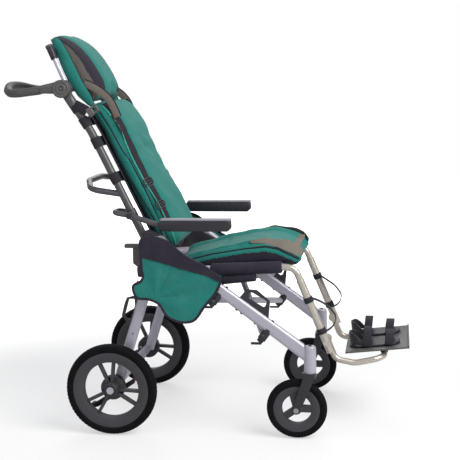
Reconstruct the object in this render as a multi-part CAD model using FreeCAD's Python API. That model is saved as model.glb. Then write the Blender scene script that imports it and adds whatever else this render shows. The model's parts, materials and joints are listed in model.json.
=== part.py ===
"""Tilt-in-space adaptive stroller.

Millimetres, +X forward, +Y to the occupant's left, +Z up. Places are worked out from the rear axle, and the
finished pieces are moved back so that the origin lies on the ground under the middle of the whole object.
"""
import FreeCAD, Part
import math
import os

V = FreeCAD.Vector

# Running clearances between pieces that move on each other
SHAFT_CLEAR = 0.05
FACE_CLEAR = 0.3
SIDE_CLEAR = 0.5

# Rear wheels and axle
REAR_WHEEL_D = 292.0
REAR_TYRE_W = 43.0
REAR_TYRE_DEPTH = 25.0
REAR_RIM_DEPTH = 32.5
REAR_RIM_W = 36.0
REAR_WHEEL_Y = 271.0
REAR_SPOKE_ANGLES = (114.0, 84.0, -3.0, -32.0, -120.0, -153.0)
REAR_SPOKE_W = 10.0
REAR_SPOKE_T = 14.0
REAR_HUB_R = 22.0
DRUM_R = 38.0
DRUM_DEPTH = 12.5
AXLE_TUBE_R = 14.0
STUB_R = 6.0
AXLE_NUT_R = 11.5
AXLE_NUT_T = 5.0
AXLE_Z = REAR_WHEEL_D / 2
REAR_TYRE_BEAD_R = AXLE_Z - REAR_TYRE_DEPTH
REAR_RIM_OPEN_R = REAR_TYRE_BEAD_R - REAR_RIM_DEPTH

# Hinge bolt that carries the front legs, the rear legs and the seat
HINGE_X = 159.0
HINGE_Z = 608.0
HINGE_BOLT_R = 6.0
HINGE_HEAD_R = 12.0
HINGE_HEAD_T = 3.5
HINGE_SHOULDER_R = 13.0

# Legs, oval tubes that lie side by side at each side
FRONT_LEG_Y = 253.0
LEG_W = 22.0
FRONT_LEG_TOP_H = 30.0
FRONT_LEG_FOOT_H = 44.0
FRONT_LEG_FOOT_RISE = 50.0
FRONT_LEG_TAIL = 20.0
LEG_WALL = 2.2
REAR_LEG_Y = 224.0
REAR_LEG_H = 34.0
REAR_LEG_TOP_R = 20.0
REAR_LEG_FOOT_X = 8.0

# Casters
CASTER_X = 625.0
CASTER_TRAIL = 42.0
CASTER_WHEEL_D = 189.0
CASTER_TYRE_W = 32.0
CASTER_TYRE_DEPTH = 22.5
CASTER_RIM_DEPTH = 26.0
CASTER_RIM_W = 26.0
CASTER_SPOKE_ANGLES = (105.0, 0.0, -145.0)
CASTER_SPOKE_W = 22.0
CASTER_HUB_R = 16.0
CASTER_AXLE_R = 4.0
CASTER_BOLT_HEAD_R = 8.0
HOUSING_R = 19.0
HOUSING_BORE_R = 13.0
HOUSING_LENGTH = 76.0
HOUSING_CAP_H = 8.0
STEM_R = 5.0
STEM_NUT_R = 9.0
BEARING_T = 8.0
CROWN_T = 14.0
CROWN_GAP = 6.7
FORK_GAP = 3.5
FORK_BLADE_T = 5.0
FORK_TIP_R = 13.0
STEM_BEARING_RISE = 46.0
STEM_LENGTH = 66.0
CASTER_AXLE_Z = CASTER_WHEEL_D / 2
CASTER_AXLE_X = CASTER_X - CASTER_TRAIL
CASTER_TYRE_BEAD_R = CASTER_AXLE_Z - CASTER_TYRE_DEPTH
CASTER_RIM_OPEN_R = CASTER_TYRE_BEAD_R - CASTER_RIM_DEPTH
HOUSING_FOOT_Z = CASTER_WHEEL_D + CROWN_GAP + CROWN_T + FACE_CLEAR
HOUSING_TOP_Z = HOUSING_FOOT_Z + HOUSING_LENGTH
FRONT_LEG_FOOT_Z = HOUSING_FOOT_Z + FRONT_LEG_FOOT_RISE

# Crossed brace under the front legs
BRACE_DROP = 35.0
BRACE_REAR_X = 354.0
BRACE_FRONT_X = 504.0
BRACE_R = 10.0
CLAMP_R = 13.0
CLAMP_KNOB_R = 10.0

# Tie-down points and the small knob on the rear leg
TIE_PLATE_T = 5.0
TIE_PLATE_X = 413.0
TIE_PLATE_OUTLINE = ((-5.0, 22.0), (19.0, 50.0), (51.0, 48.0), (91.0, 14.0), (85.0, -48.0), (7.0, 7.0))
TIE_PLATE_WINDOW = ((24.0, 23.0), (32.0, 43.0), (82.0, 14.0), (74.0, -8.0))
TIE_PLATE_ROUND = 6.0
TIE_LOOP_Z = 436.0
TIE_LOOP_OUTLINE = ((-5.0, 0.0), (-34.0, 1.0), (-56.0, -5.0), (-64.0, -25.0), (-74.0, -63.0), (-48.0, -98.0),
                    (-25.0, -100.0))
TIE_LOOP_WINDOW = ((-48.0, -9.0), (-31.0, -9.0), (-30.0, -30.0), (-45.0, -72.0), (-54.0, -74.0), (-64.0, -62.0))
TIE_LOOP_ROUND = 3.0
LEG_KNOB_Z = 464.0
LEG_KNOB_R = 11.0

# Brake
BRAKE_PLATE_R = 38.0
LOCK_PIN_R = 4.0
LOCK_PIN_CIRCLE_R = 28.0
LOCK_PIN_TRAVEL = 8.0
LOCK_HOLE_R = 4.6
LOCK_HOLES = 12
PEDAL_Y = -203.0
PEDAL_W = 13.0
PEDAL_PIVOT_X = -2.0
PEDAL_PIVOT_Z = AXLE_Z - 29.0
PEDAL_TAIL_X = -93.0
PEDAL_TAIL_Z = AXLE_Z - 81.0
PEDAL_TAB_X = 58.0
PEDAL_TAB_Z = AXLE_Z + 19.0
PEDAL_BOLT_R = 5.0
PEDAL_TRAVEL = 18.0

# Seat frame
PLATE_Y = 203.0
PLATE_T = 6.0
PLATE_EAR_X = 112.0
PLATE_EAR_Z = 632.0
RAIL_Y = 190.5
RAIL_R = 12.5
RAIL_BORE_R = 10.6
RAIL_REAR_X = 84.0
RAIL_REAR_Z = 507.0
RAIL_FRONT_X = 538.0
RAIL_FRONT_Z = 527.0
RAIL_COVER_REAR_X = 312.0
RAIL_COVER_R = 20.0
CROSS_BAR_R = 9.5
LEVER_BAR_X = 92.0
PAN_BAR_XS = (215.0, 505.0)
PAN_BAR_DROP = 18.0
ROLL_R = 11.0
ROLL_REAR_X = 345.0
ROLL_FRONT_X = 454.0
PAN_REAR_X = 165.0
PAN_T = 5.0
PAN_HALF_W = 176.0

# Seat cushion: station x, height of the top edge, crown above it
SEAT_CUSHION_HALF_W = 172.0
SEAT_CROWN = 9.0
SEAT_TOP_XS = (172.0, 250.0, 330.0, 415.0, 480.0, 540.0, 588.0)
SEAT_TOP_ZS = (525.0, 545.0, 568.0, 586.0, 593.0, 580.0, 556.0)
SEAT_NOSE_Z = 534.0
CENTRE_STRAP_W = 50.0
CENTRE_STRAP_T = 3.0

# Side skirts of hanging cloth
SKIRT_T = 4.0
SKIRT_FOLD = 2.2
SKIRT_ROD_X = 120.0
SKIRT_ROD_Z = 616.0
SKIRT_ROD_R = 3.5
SKIRT_Y = FRONT_LEG_Y + LEG_W / 2 + HINGE_HEAD_T + SIDE_CLEAR + SKIRT_FOLD + SKIRT_T / 2

# Legrest
LEGREST_BEND_X = 576.0
LEGREST_BEND_Z = 523.0
LEGREST_ANGLE = 67.7
LEGREST_TUBE_R = 10.5
LEGREST_SLEEVE_TOP_Z = 486.0
LEGREST_TUBE_FOOT_Z = 345.0
SLEEVE_R = 12.3
SLEEVE_FOOT_Z = 258.0
SLEEVE_BORE_R = LEGREST_TUBE_R + SHAFT_CLEAR
FOOT_PIVOT_Z = 291.0
FOOT_TUBE_Y = 150.0
FOOT_TUBE_R = 9.5
FOOT_BOLT_R = 5.0
FOOT_LOW_X = 758.0
FOOT_LOW_Z = 214.0
FOOT_CROSS_X = 848.0
FOOT_CROSS_Z = 232.0
PLATE_REAR_X = 727.0
PLATE_REAR_Z = 241.0
PLATE_FRONT_X = 927.0
PLATE_FRONT_Z = 262.0
FOOT_PLATE_T = 6.0
FOOT_PLATE_HALF_W = 142.0
CALF_STRAP_W = 22.0
CALF_STRAP_T = 3.0
CALF_STRAP_Y = 164.0
CALF_STRAP_OUTLINE = ((634.0, 428.0), (668.0, 400.0), (700.0, 374.0), (696.0, 346.0), (668.0, 318.0))
CALF_BAND_ZS = (424.0, 326.0)

# Sandals on the foot plate
SANDAL_Y = 72.0
SANDAL_HALF_W = 45.0
SANDAL_WALL = 6.0
SANDAL_SOLE_T = 8.0
SANDAL_HEEL_H = 46.0
SANDAL_HEEL_LENGTH = 60.0
FOOT_STRAP_W = 26.0
FOOT_STRAP_T = 2.8
FOOT_STRAPS = ((52.0, 56.0), (122.0, 40.0))

# Back frame
BACK_PIVOT_X = 136.0
BACK_PIVOT_Z = 545.0
BACK_BOLT_R = 5.0
CANE_Y = 190.0
CANE_R = 12.5
CANE_WALL = 2.0
CANE_EYE_R = 14.5
CANE_EYE_OVER = 0.15
CANE_LOW_ANGLE = 64.5
CANE_LOW_LENGTH = 449.0
CANE_TOP_ANGLE = 57.5
CANE_TOP_LENGTH = 160.0
REAR_BAR_R = 10.0
REAR_BAR_S = 232.0
REAR_BAR_CORNER = (-70.0, 180.0, 14.0)
REAR_BAR_MIDDLE = (-104.0, 75.0, 30.0)
REAR_BAR_BENDS = (55.0, 110.0)
CANE_KNEE_BEND = 150.0
BACK_CUSHION_REAR = 14.0
BACK_CUSHION_HALF_W = 160.0
BACK_CUSHION_CROWN = 5.0
BACK_LOW_ROWS = ((0.0, 84.0), (60.0, 92.0), (150.0, 98.0), (246.0, 91.0), (337.0, 92.0), (420.0, 98.0))
BACK_TOP_ROWS = ((28.0, 88.0), (78.0, 80.0))
BACK_PANEL_FOOT_S = 12.0
BACK_PANEL_HALF_W = 161.0
BACK_PANEL_T = 5.0
LACE_SS = (300.0, 416.0)
LACE_TOP_S = 40.0
LACE_T = 2.5
LACE_W = 28.0
SHOULDER_STRAP_Y = 138.0
SHOULDER_STRAP_W = 30.0
SHOULDER_STRAP_T = 3.0

# Handle
HUB_R = 28.0
HUB_INNER_Y = 177.0
HUB_SPLIT_Y = 196.3
HUB_OUTER_Y = 216.0
HUB_BOLT_R = 7.0
HANDLE_ARM_H = 27.0
HANDLE_ARM_W = 19.0
HANDLE_ARM_RISE = 10.0
HANDLE_ARM_REAR_X = -212.0
HANDLE_ARM_REAR_Z = 1083.0
GRIP_R = 13.0
GRIP_CORNER = (-306.0, 1071.0)
GRIP_SHOULDER = (-346.0, 130.0, 1080.0)
GRIP_MIDDLE = (-370.0, 45.0, 1095.0)
GRIP_BENDS = (60.0, 250.0, 220.0)

# Head support
POST_Y = 182.0
POST_R = 7.5
POST_ANGLE = 67.0
POST_FOOT_RISE = 26.0
POST_RISE = 105.0
POST_AHEAD = 3.0
HEAD_SLEEVE_LENGTH = 41.0
HEAD_SLEEVE_CAP = 2.0
HEAD_SLEEVE_R = 11.0
HEAD_LUG_R = 9.0
HEAD_HALF_W = 150.0
HEAD_CROWN = 4.0
HEAD_ROWS = ((80.0, 12.0, 82.0, 0.0), (130.0, 10.0, 93.0, 0.0), (200.0, 9.0, 95.0, 0.0), (270.0, 12.0, 81.0, 6.0),
             (344.0, 8.0, 34.0, 26.0))

# Armrests
ARM_PIVOT_Z = 692.0
ARM_BOLT_R = 5.0
ARM_Y = 225.0
ARM_TUBE_R = 8.5
ARM_BACK_X = 14.0
ARM_BACK_Z = 700.0
ARM_KNEE_X = 128.0
ARM_KNEE_Z = 671.0
ARM_PAD_REAR_X = 158.0
ARM_PAD_FRONT_X = 384.0
ARM_PAD_FOOT_Z = 643.0
ARM_PAD_TOP_Z = 681.0
ARM_PAD_W = 38.0

# Tilt lever, turns on the rearmost cross bar
LEVER_Y = -161.0
LEVER_W = 18.0
LEVER_RING_R = 15.0
LEVER_TOP_X = 67.5
LEVER_TOP_Z = 579.0
LEVER_STEM_W = 23.0
LEVER_TAB_LENGTH = 58.0
LEVER_TAB_T = 13.0

# Derived places
GRIP_BACK_X = GRIP_MIDDLE[0] - GRIP_R
MIDDLE_X = (PLATE_FRONT_X + GRIP_BACK_X) / 2
SIDES = (("left", 1), ("right", -1))


def polar(angle):
    """Unit vector in the XZ plane at an angle above +X."""
    turn = math.radians(angle)
    return V(math.cos(turn), 0, math.sin(turn))


def save(name, *solids):
    """Write the solids of one node, moved so that the origin is under the middle of the object."""
    shape = solids[0] if len(solids) == 1 else Part.makeCompound(list(solids))
    shape = shape.copy()
    shape.translate(V(-MIDDLE_X, 0, 0))
    if not shape.isValid():
        print("not valid:", name)
    shape.exportStep("parts/" + name + ".step")
    print(name, len(shape.Solids), round(sum(solid.Volume for solid in shape.Solids) / 1000, 1))


def rod(start, end, radius):
    """Round bar between two points."""
    return Part.makeCylinder(radius, (end - start).Length, start, end - start)


def cross_rod(x, z, y0, y1, radius):
    """Round bar along Y between two heights of Y."""
    return rod(V(x, min(y0, y1), z), V(x, max(y0, y1), z), radius)


def ring(x, z, y0, y1, outer, inner):
    """Flat ring whose axis runs along Y."""
    return cross_rod(x, z, y0, y1, outer).cut(cross_rod(x, z, min(y0, y1) - 1, max(y0, y1) + 1, inner))


def block(x0, x1, y0, y1, z0, z1):
    """Box between two corners given in any order."""
    low = V(min(x0, x1), min(y0, y1), min(z0, z1))
    return Part.makeBox(abs(x1 - x0), abs(y1 - y0), abs(z1 - z0), low)


def profile(points, y0, y1):
    """Plate with a straight-sided outline in XZ, between two heights of Y."""
    corners = [V(x, min(y0, y1), z) for x, z in points]
    face = Part.Face(Part.makePolygon(corners + corners[:1]))
    return face.extrude(V(0, abs(y1 - y0), 0))


def rounded(solid, radius, axis=V(0, 1, 0)):
    """Round the edges of a plate that run along an axis."""
    edges = [edge for edge in solid.Edges
             if len(edge.Vertexes) == 2 and abs(edge.tangentAt(edge.FirstParameter).dot(axis)) > 0.999]
    return solid.makeFillet(radius, edges)


def rounded_path(points, radii):
    """Wire of straight runs joined by tangent arcs, one radius for each inner point."""
    edges = []
    start = points[0]
    for before, corner, after, radius in zip(points, points[1:], points[2:], radii):
        back = (before - corner).normalize()
        ahead = (after - corner).normalize()
        half = back.getAngle(ahead) / 2
        reach = radius / math.tan(half)
        middle_way = (back + ahead).normalize()
        middle = corner + middle_way * (radius / math.sin(half) - radius)
        arc_start = corner + back * reach
        arc_end = corner + ahead * reach
        edges.append(Part.LineSegment(start, arc_start).toShape())
        edges.append(Part.Arc(arc_start, middle, arc_end).toShape())
        start = arc_end
    edges.append(Part.LineSegment(start, points[-1]).toShape())
    return Part.Wire(edges)


def sweep(path, section):
    """Solid of a closed section carried along a path."""
    return path.makePipeShell([section], True, False)


def bent_bar(points, radii, radius, bore=0.0):
    """Round bar along straight runs and tangent arcs, hollow if it has a bore."""
    path = rounded_path(points, radii)
    way = points[1] - points[0]
    solid = sweep(path, Part.Wire(Part.makeCircle(radius, points[0], way)))
    if bore:
        solid = solid.cut(sweep(path, Part.Wire(Part.makeCircle(bore, points[0], way))))
    return solid


def oval_wire(centre, tall, width, height):
    """Oval of straight sides and round ends, tall along one way and wide along Y."""
    radius = width / 2
    flat = tall * (height / 2 - radius)
    side = V(0, radius, 0)
    top = centre + flat
    foot = centre - flat
    return Part.Wire([
        Part.LineSegment(foot + side, top + side).toShape(),
        Part.Arc(top + side, top + tall * radius, top - side).toShape(),
        Part.LineSegment(top - side, foot - side).toShape(),
        Part.Arc(foot - side, foot - tall * radius, foot + side).toShape(),
    ])


def front_leg_line(x):
    """Height of the front leg's middle line at a distance forward."""
    return HINGE_Z + (x - HINGE_X) * (FRONT_LEG_FOOT_Z - HINGE_Z) / (CASTER_X - HINGE_X)


FRONT_LEG_WAY = V(CASTER_X - HINGE_X, 0, FRONT_LEG_FOOT_Z - HINGE_Z).normalize()
FRONT_LEG_UP = V(-FRONT_LEG_WAY.z, 0, FRONT_LEG_WAY.x)
FRONT_LEG_LENGTH = V(CASTER_X - HINGE_X, 0, FRONT_LEG_FOOT_Z - HINGE_Z).Length


def front_leg_solid(side, shrink=0.0, tail=FRONT_LEG_TAIL):
    """Tapered oval bar from behind the hinge bolt to the caster's turning axis."""
    hinge = V(HINGE_X, side * FRONT_LEG_Y, HINGE_Z)
    start = hinge - FRONT_LEG_WAY * tail
    end = V(CASTER_X, side * FRONT_LEG_Y, FRONT_LEG_FOOT_Z)
    width = LEG_W - 2 * shrink
    wires = [oval_wire(start, FRONT_LEG_UP, width, FRONT_LEG_TOP_H - 2 * shrink),
             oval_wire(end, FRONT_LEG_UP, width, FRONT_LEG_FOOT_H - 2 * shrink)]
    return Part.makeLoft(wires, True, True)


def front_leg(side):
    """Hollow leg with a plugged top, a hole for the hinge bolt and a foot coped to the caster housing."""
    leg = front_leg_solid(side).cut(front_leg_solid(side, LEG_WALL, -REAR_LEG_TOP_R))
    y = side * FRONT_LEG_Y
    leg = leg.cut(rod(V(CASTER_X, y, HOUSING_FOOT_Z - 20), V(CASTER_X, y, HOUSING_TOP_Z + 40), HOUSING_R))
    leg = leg.cut(cross_rod(HINGE_X, HINGE_Z, y - LEG_W, y + LEG_W, HINGE_BOLT_R))
    solids = sorted(leg.Solids, key=lambda solid: solid.Volume)
    return solids[-1]


def caster_housing(side):
    """Bearing housing with its bore, and the domed cap on top."""
    y = side * FRONT_LEG_Y
    base = V(CASTER_X, y, HOUSING_FOOT_Z)
    shell = rod(base, V(CASTER_X, y, HOUSING_TOP_Z), HOUSING_R)
    shell = shell.cut(rod(base - V(0, 0, 1), V(CASTER_X, y, HOUSING_TOP_Z - 4), HOUSING_BORE_R))
    cap = Part.makeCylinder(HOUSING_R - 1, HOUSING_CAP_H, V(CASTER_X, y, HOUSING_TOP_Z))
    top_edges = [edge for edge in cap.Edges if edge.CenterOfMass.z > HOUSING_TOP_Z + HOUSING_CAP_H - 0.1]
    cap = cap.makeFillet(HOUSING_CAP_H * 0.7, top_edges)
    return shell, cap


def caster_bearings(side):
    """Two bearings in the housing."""
    y = side * FRONT_LEG_Y
    solids = []
    for foot in (HOUSING_FOOT_Z + 3, HOUSING_FOOT_Z + STEM_BEARING_RISE):
        outer = rod(V(CASTER_X, y, foot), V(CASTER_X, y, foot + BEARING_T), HOUSING_BORE_R)
        hole = rod(V(CASTER_X, y, foot - 1), V(CASTER_X, y, foot + BEARING_T + 1), STEM_R + SHAFT_CLEAR)
        solids.append(outer.cut(hole))
    return solids


def hinge_bolt(side):
    """Hinge bolt with its head outside the front leg, spacer shoulders and an inner nut."""
    leg_out = FRONT_LEG_Y + LEG_W / 2
    leg_in = FRONT_LEG_Y - LEG_W / 2
    rear_out = REAR_LEG_Y + LEG_W / 2
    rear_in = REAR_LEG_Y - LEG_W / 2
    plate_out = PLATE_Y + PLATE_T
    nut_in = PLATE_Y - 8.5
    spans = ((nut_in, leg_out + HINGE_HEAD_T, HINGE_BOLT_R),
             (leg_out, leg_out + HINGE_HEAD_T, HINGE_HEAD_R),
             (rear_out + FACE_CLEAR, leg_in, HINGE_SHOULDER_R),
             (plate_out + FACE_CLEAR, rear_in - FACE_CLEAR, HINGE_SHOULDER_R),
             (nut_in, PLATE_Y - FACE_CLEAR, HINGE_BOLT_R + 3.5))
    solids = [cross_rod(HINGE_X, HINGE_Z, side * y0, side * y1, radius) for y0, y1, radius in spans]
    return solids[0].multiFuse(solids[1:]).removeSplitter()


def brace_point(x, side):
    """Place under the front leg where a brace bar ends."""
    return V(x, side * FRONT_LEG_Y, front_leg_line(x)) - FRONT_LEG_UP * BRACE_DROP


def brace_bars():
    """Two crossed bars: the first runs right through, the second is two pieces welded to it."""
    through = rod(brace_point(BRACE_REAR_X, -1), brace_point(BRACE_FRONT_X, 1), BRACE_R)
    other = rod(brace_point(BRACE_FRONT_X, -1), brace_point(BRACE_REAR_X, 1), BRACE_R).cut(through)
    return through, other.Solids


def brace_clamps(bars):
    """Clamp post under each leg that holds a bar's end, with a knob on its foot."""
    legs = {side: front_leg_solid(side) for _, side in SIDES}
    solids = []
    for x in (BRACE_REAR_X, BRACE_FRONT_X):
        for _, side in SIDES:
            middle = brace_point(x, side)
            post = rod(middle + FRONT_LEG_UP * (BRACE_DROP - 8), middle - FRONT_LEG_UP * CLAMP_R, CLAMP_R)
            knob = rod(middle - FRONT_LEG_UP * CLAMP_R, middle - FRONT_LEG_UP * (CLAMP_R + 9), CLAMP_KNOB_R)
            lever = block(middle.x - 8, middle.x - 40, middle.y - 4, middle.y + 4,
                          middle.z - CLAMP_R - 14, middle.z - CLAMP_R - 8)
            post = post.fuse(knob).cut(legs[side])
            for bar in bars:
                post = post.cut(bar)
            post = sorted(post.Solids, key=lambda solid: solid.Volume)[-1]
            solids.append(post.fuse(lever).removeSplitter())
    return solids


def front_tie_down(side):
    """Flat plate with a window, seated on the leg's upper edge."""
    base_z = front_leg_line(TIE_PLATE_X)
    y0 = side * FRONT_LEG_Y - TIE_PLATE_T / 2
    y1 = side * FRONT_LEG_Y + TIE_PLATE_T / 2
    plate = profile([(TIE_PLATE_X + x, base_z + z) for x, z in TIE_PLATE_OUTLINE], y0, y1)
    window = profile([(TIE_PLATE_X + x, base_z + z) for x, z in TIE_PLATE_WINDOW], y0 - 1, y1 + 1)
    plate = rounded(plate, TIE_PLATE_ROUND).cut(rounded(window, TIE_PLATE_ROUND))
    return plate.cut(front_leg_solid(side))


def make_base():
    """Front legs, caster housings, hinge bolts, brace and tie-down plates."""
    housings = []
    bearings = []
    for name, side in SIDES:
        save("front_leg_" + name, front_leg(side))
        housings.extend(caster_housing(side))
        bearings.extend(caster_bearings(side))
    save("caster_housings", *housings, *bearings)
    save("hinge_bolts", *[hinge_bolt(side) for _, side in SIDES])
    through, halves = brace_bars()
    save("brace_bars", through, *halves)
    save("brace_clamps", *brace_clamps([through] + halves))
    save("front_tie_downs", *[front_tie_down(side) for _, side in SIDES])


REAR_LEG_WAY = V(REAR_LEG_FOOT_X - HINGE_X, 0, AXLE_Z - HINGE_Z).normalize()
REAR_LEG_AHEAD = V(-REAR_LEG_WAY.z, 0, REAR_LEG_WAY.x)


def rear_leg_point(z):
    """Point of the rear leg's middle line at one height."""
    share = (HINGE_Z - z) / (HINGE_Z - AXLE_Z)
    return V(HINGE_X + (REAR_LEG_FOOT_X - HINGE_X) * share, 0, z)


def rear_leg_oval(side, shrink, top_z):
    """Straight oval bar from one height down to the axle."""
    start = rear_leg_point(top_z) + V(0, side * REAR_LEG_Y, 0)
    end = V(REAR_LEG_FOOT_X, side * REAR_LEG_Y, AXLE_Z)
    wires = [oval_wire(point, REAR_LEG_AHEAD, LEG_W - 2 * shrink, REAR_LEG_H - 2 * shrink)
             for point in (start, end)]
    return Part.makeLoft(wires, True, True)


def rear_leg(side):
    """Hollow rear leg with a solid eye at the hinge bolt and a foot coped to the axle tube."""
    y = side * REAR_LEG_Y
    eye = cross_rod(HINGE_X, HINGE_Z, y - LEG_W / 2, y + LEG_W / 2, REAR_LEG_TOP_R)
    leg = rear_leg_oval(side, 0, HINGE_Z).cut(rear_leg_oval(side, LEG_WALL, HINGE_Z - 2 * REAR_LEG_TOP_R))
    leg = leg.fuse(eye)
    leg = leg.cut(cross_rod(HINGE_X, HINGE_Z, y - LEG_W, y + LEG_W, HINGE_BOLT_R + SHAFT_CLEAR))
    leg = leg.cut(cross_rod(0, AXLE_Z, y - LEG_W, y + LEG_W, AXLE_TUBE_R))
    return sorted(leg.Solids, key=lambda solid: solid.Volume)[-1]


def rear_axle():
    """Axle tube between the wheels, with a stub and nut through each hub, and the pedal's pivot bolt."""
    face = REAR_WHEEL_Y - REAR_TYRE_W / 2
    hub_out = REAR_WHEEL_Y + REAR_RIM_W / 2
    axle = cross_rod(0, AXLE_Z, -face + FACE_CLEAR, face - FACE_CLEAR, AXLE_TUBE_R)
    axle = axle.fuse(cross_rod(0, AXLE_Z, -hub_out - 1, hub_out + 1, STUB_R))
    for _, side in SIDES:
        nut_in = side * (hub_out + FACE_CLEAR)
        axle = axle.fuse(cross_rod(0, AXLE_Z, nut_in, nut_in + side * AXLE_NUT_T, AXLE_NUT_R))
    return axle.removeSplitter()


def pedal_bracket():
    """Lug under the axle tube with the bolt that the brake pedal rocks on."""
    inner = PEDAL_Y + PEDAL_W / 2 + FACE_CLEAR
    outer = PEDAL_Y - PEDAL_W / 2 - FACE_CLEAR
    lug = block(PEDAL_PIVOT_X - 10, PEDAL_PIVOT_X + 10, inner, inner + 8, PEDAL_PIVOT_Z, AXLE_Z)
    lug = lug.fuse(cross_rod(PEDAL_PIVOT_X, PEDAL_PIVOT_Z, inner, inner + 8, 10))
    lug = lug.cut(cross_rod(0, AXLE_Z, inner - 1, inner + 9, AXLE_TUBE_R))
    lug = sorted(lug.Solids, key=lambda solid: solid.Volume)[-1]
    bolt = cross_rod(PEDAL_PIVOT_X, PEDAL_PIVOT_Z, outer - 1.5, inner + 4, PEDAL_BOLT_R)
    head = cross_rod(PEDAL_PIVOT_X, PEDAL_PIVOT_Z, outer - 1.5, outer, PEDAL_BOLT_R + 3)
    return lug.fuse([bolt, head]).removeSplitter()


def lock_pin_place(side):
    """Place of a lock pin beside the axle."""
    return V(-LOCK_PIN_CIRCLE_R, side * REAR_WHEEL_Y, AXLE_Z)


def brake_housing(side):
    """Plate round the axle beside the wheel's drum, with the bore for the lock pin."""
    y0 = side * (REAR_LEG_Y + LEG_W / 2)
    y1 = side * (REAR_WHEEL_Y - REAR_TYRE_W / 2 - 2)
    plate = ring(0, AXLE_Z, y0, y1, BRAKE_PLATE_R, AXLE_TUBE_R)
    pin = lock_pin_place(side)
    return plate.cut(cross_rod(pin.x, pin.z, y0 - 20, y1 + 20, LOCK_PIN_R + SHAFT_CLEAR))


def rear_tie_down(side):
    """Flat plate with a window behind the rear leg."""
    top = rear_leg_point(TIE_LOOP_Z)
    y0 = side * REAR_LEG_Y - TIE_PLATE_T / 2
    y1 = side * REAR_LEG_Y + TIE_PLATE_T / 2
    plate = profile([(top.x + x, top.z + z) for x, z in TIE_LOOP_OUTLINE], y0, y1)
    window = profile([(top.x + x, top.z + z) for x, z in TIE_LOOP_WINDOW], y0 - 1, y1 + 1)
    plate = rounded(plate, TIE_LOOP_ROUND).cut(rounded(window, TIE_LOOP_ROUND))
    return plate.cut(rear_leg_oval(side, 0, HINGE_Z))


def leg_knob(side):
    """Round knob on the front edge of the rear leg."""
    middle = rear_leg_point(LEG_KNOB_Z) + V(0, side * REAR_LEG_Y, 0)
    start = middle - REAR_LEG_AHEAD * (REAR_LEG_H / 2 - 4)
    knob = rod(start, start - REAR_LEG_AHEAD * 22, LEG_KNOB_R)
    return knob.cut(rear_leg_oval(side, 0, HINGE_Z))


def make_rear_frame():
    """Rear legs, axle, brake housings, tie-down plates and knobs."""
    for name, side in SIDES:
        save("rear_leg_" + name, rear_leg(side))
    save("rear_axle", rear_axle())
    save("brake_housings", *[brake_housing(side) for _, side in SIDES], pedal_bracket())
    save("rear_tie_downs", *[make(side) for make in (rear_tie_down, leg_knob) for _, side in SIDES])


def axle_hollow(y0, y1):
    """Room for the axle tube through the pedal's travel."""
    pivot = V(PEDAL_PIVOT_X, 0, PEDAL_PIVOT_Z)
    rods = []
    for step in range(7):
        turn = math.radians(PEDAL_TRAVEL * step / 6)
        x = (0 - pivot.x) * math.cos(turn) + (AXLE_Z - pivot.z) * math.sin(turn)
        z = (AXLE_Z - pivot.z) * math.cos(turn) - (0 - pivot.x) * math.sin(turn)
        rods.append(cross_rod(pivot.x + x, pivot.z + z, y0, y1, AXLE_TUBE_R + 1))
    return rods[0].fuse(rods[1:])


def brake_pedal():
    """Rocker with a broad foot end and a raised tab at the front."""
    y0 = PEDAL_Y - PEDAL_W / 2
    y1 = PEDAL_Y + PEDAL_W / 2
    outline = [(PEDAL_TAIL_X, PEDAL_TAIL_Z - 8), (PEDAL_TAIL_X + 30, PEDAL_TAIL_Z + 2),
               (PEDAL_PIVOT_X, PEDAL_PIVOT_Z - 11), (PEDAL_TAB_X, PEDAL_TAB_Z - 18),
               (PEDAL_TAB_X, PEDAL_TAB_Z - 2), (PEDAL_PIVOT_X + 22, PEDAL_PIVOT_Z + 22),
               (PEDAL_PIVOT_X, PEDAL_PIVOT_Z + 9), (PEDAL_TAIL_X + 26, PEDAL_TAIL_Z + 18),
               (PEDAL_TAIL_X, PEDAL_TAIL_Z + 8)]
    pedal = profile(outline, y0, y1)
    tread = cross_rod(PEDAL_TAIL_X + 6, PEDAL_TAIL_Z, y0 + 0.5, y1 + 26, 8)
    pedal = pedal.fuse(tread).cut(axle_hollow(y0 - 1, y1 + 1))
    return pedal.cut(cross_rod(PEDAL_PIVOT_X, PEDAL_PIVOT_Z, y0 - 1, y1 + 1, PEDAL_BOLT_R + SHAFT_CLEAR))


def pedal_tab():
    """Cap of bright plastic on the pedal's front end."""
    y0 = PEDAL_Y - PEDAL_W / 2
    return block(PEDAL_TAB_X, PEDAL_TAB_X + 14, y0, y0 + PEDAL_W, PEDAL_TAB_Z - 10, PEDAL_TAB_Z + 5)


def lock_pin(side):
    """Pin that slides outwards into one of the drum's holes."""
    pin = lock_pin_place(side)
    y1 = side * (REAR_WHEEL_Y - REAR_TYRE_W / 2 - 2)
    y0 = side * (REAR_LEG_Y + LEG_W / 2 + 0.5)
    return cross_rod(pin.x, pin.z, y0, y1, LOCK_PIN_R)


def make_brake():
    """Brake pedal and the two lock pins."""
    save("brake_pedal", brake_pedal().fuse(pedal_tab()))
    for name, side in SIDES:
        save("lock_pin_" + name, lock_pin(side))


def turned(points, x, y, z):
    """Ring turned about a wheel's axis; points are (radius, offset along Y), closed by lines and arcs."""
    edges = []
    for kind, *places in points:
        corners = [V(x, y + offset, z + radius) for radius, offset in places]
        if kind == "line":
            edges.append(Part.LineSegment(*corners).toShape())
        else:
            edges.append(Part.Arc(*corners).toShape())
    return Part.Face(Part.Wire(edges)).revolve(V(x, y, z), V(0, 1, 0), 360)


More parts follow.
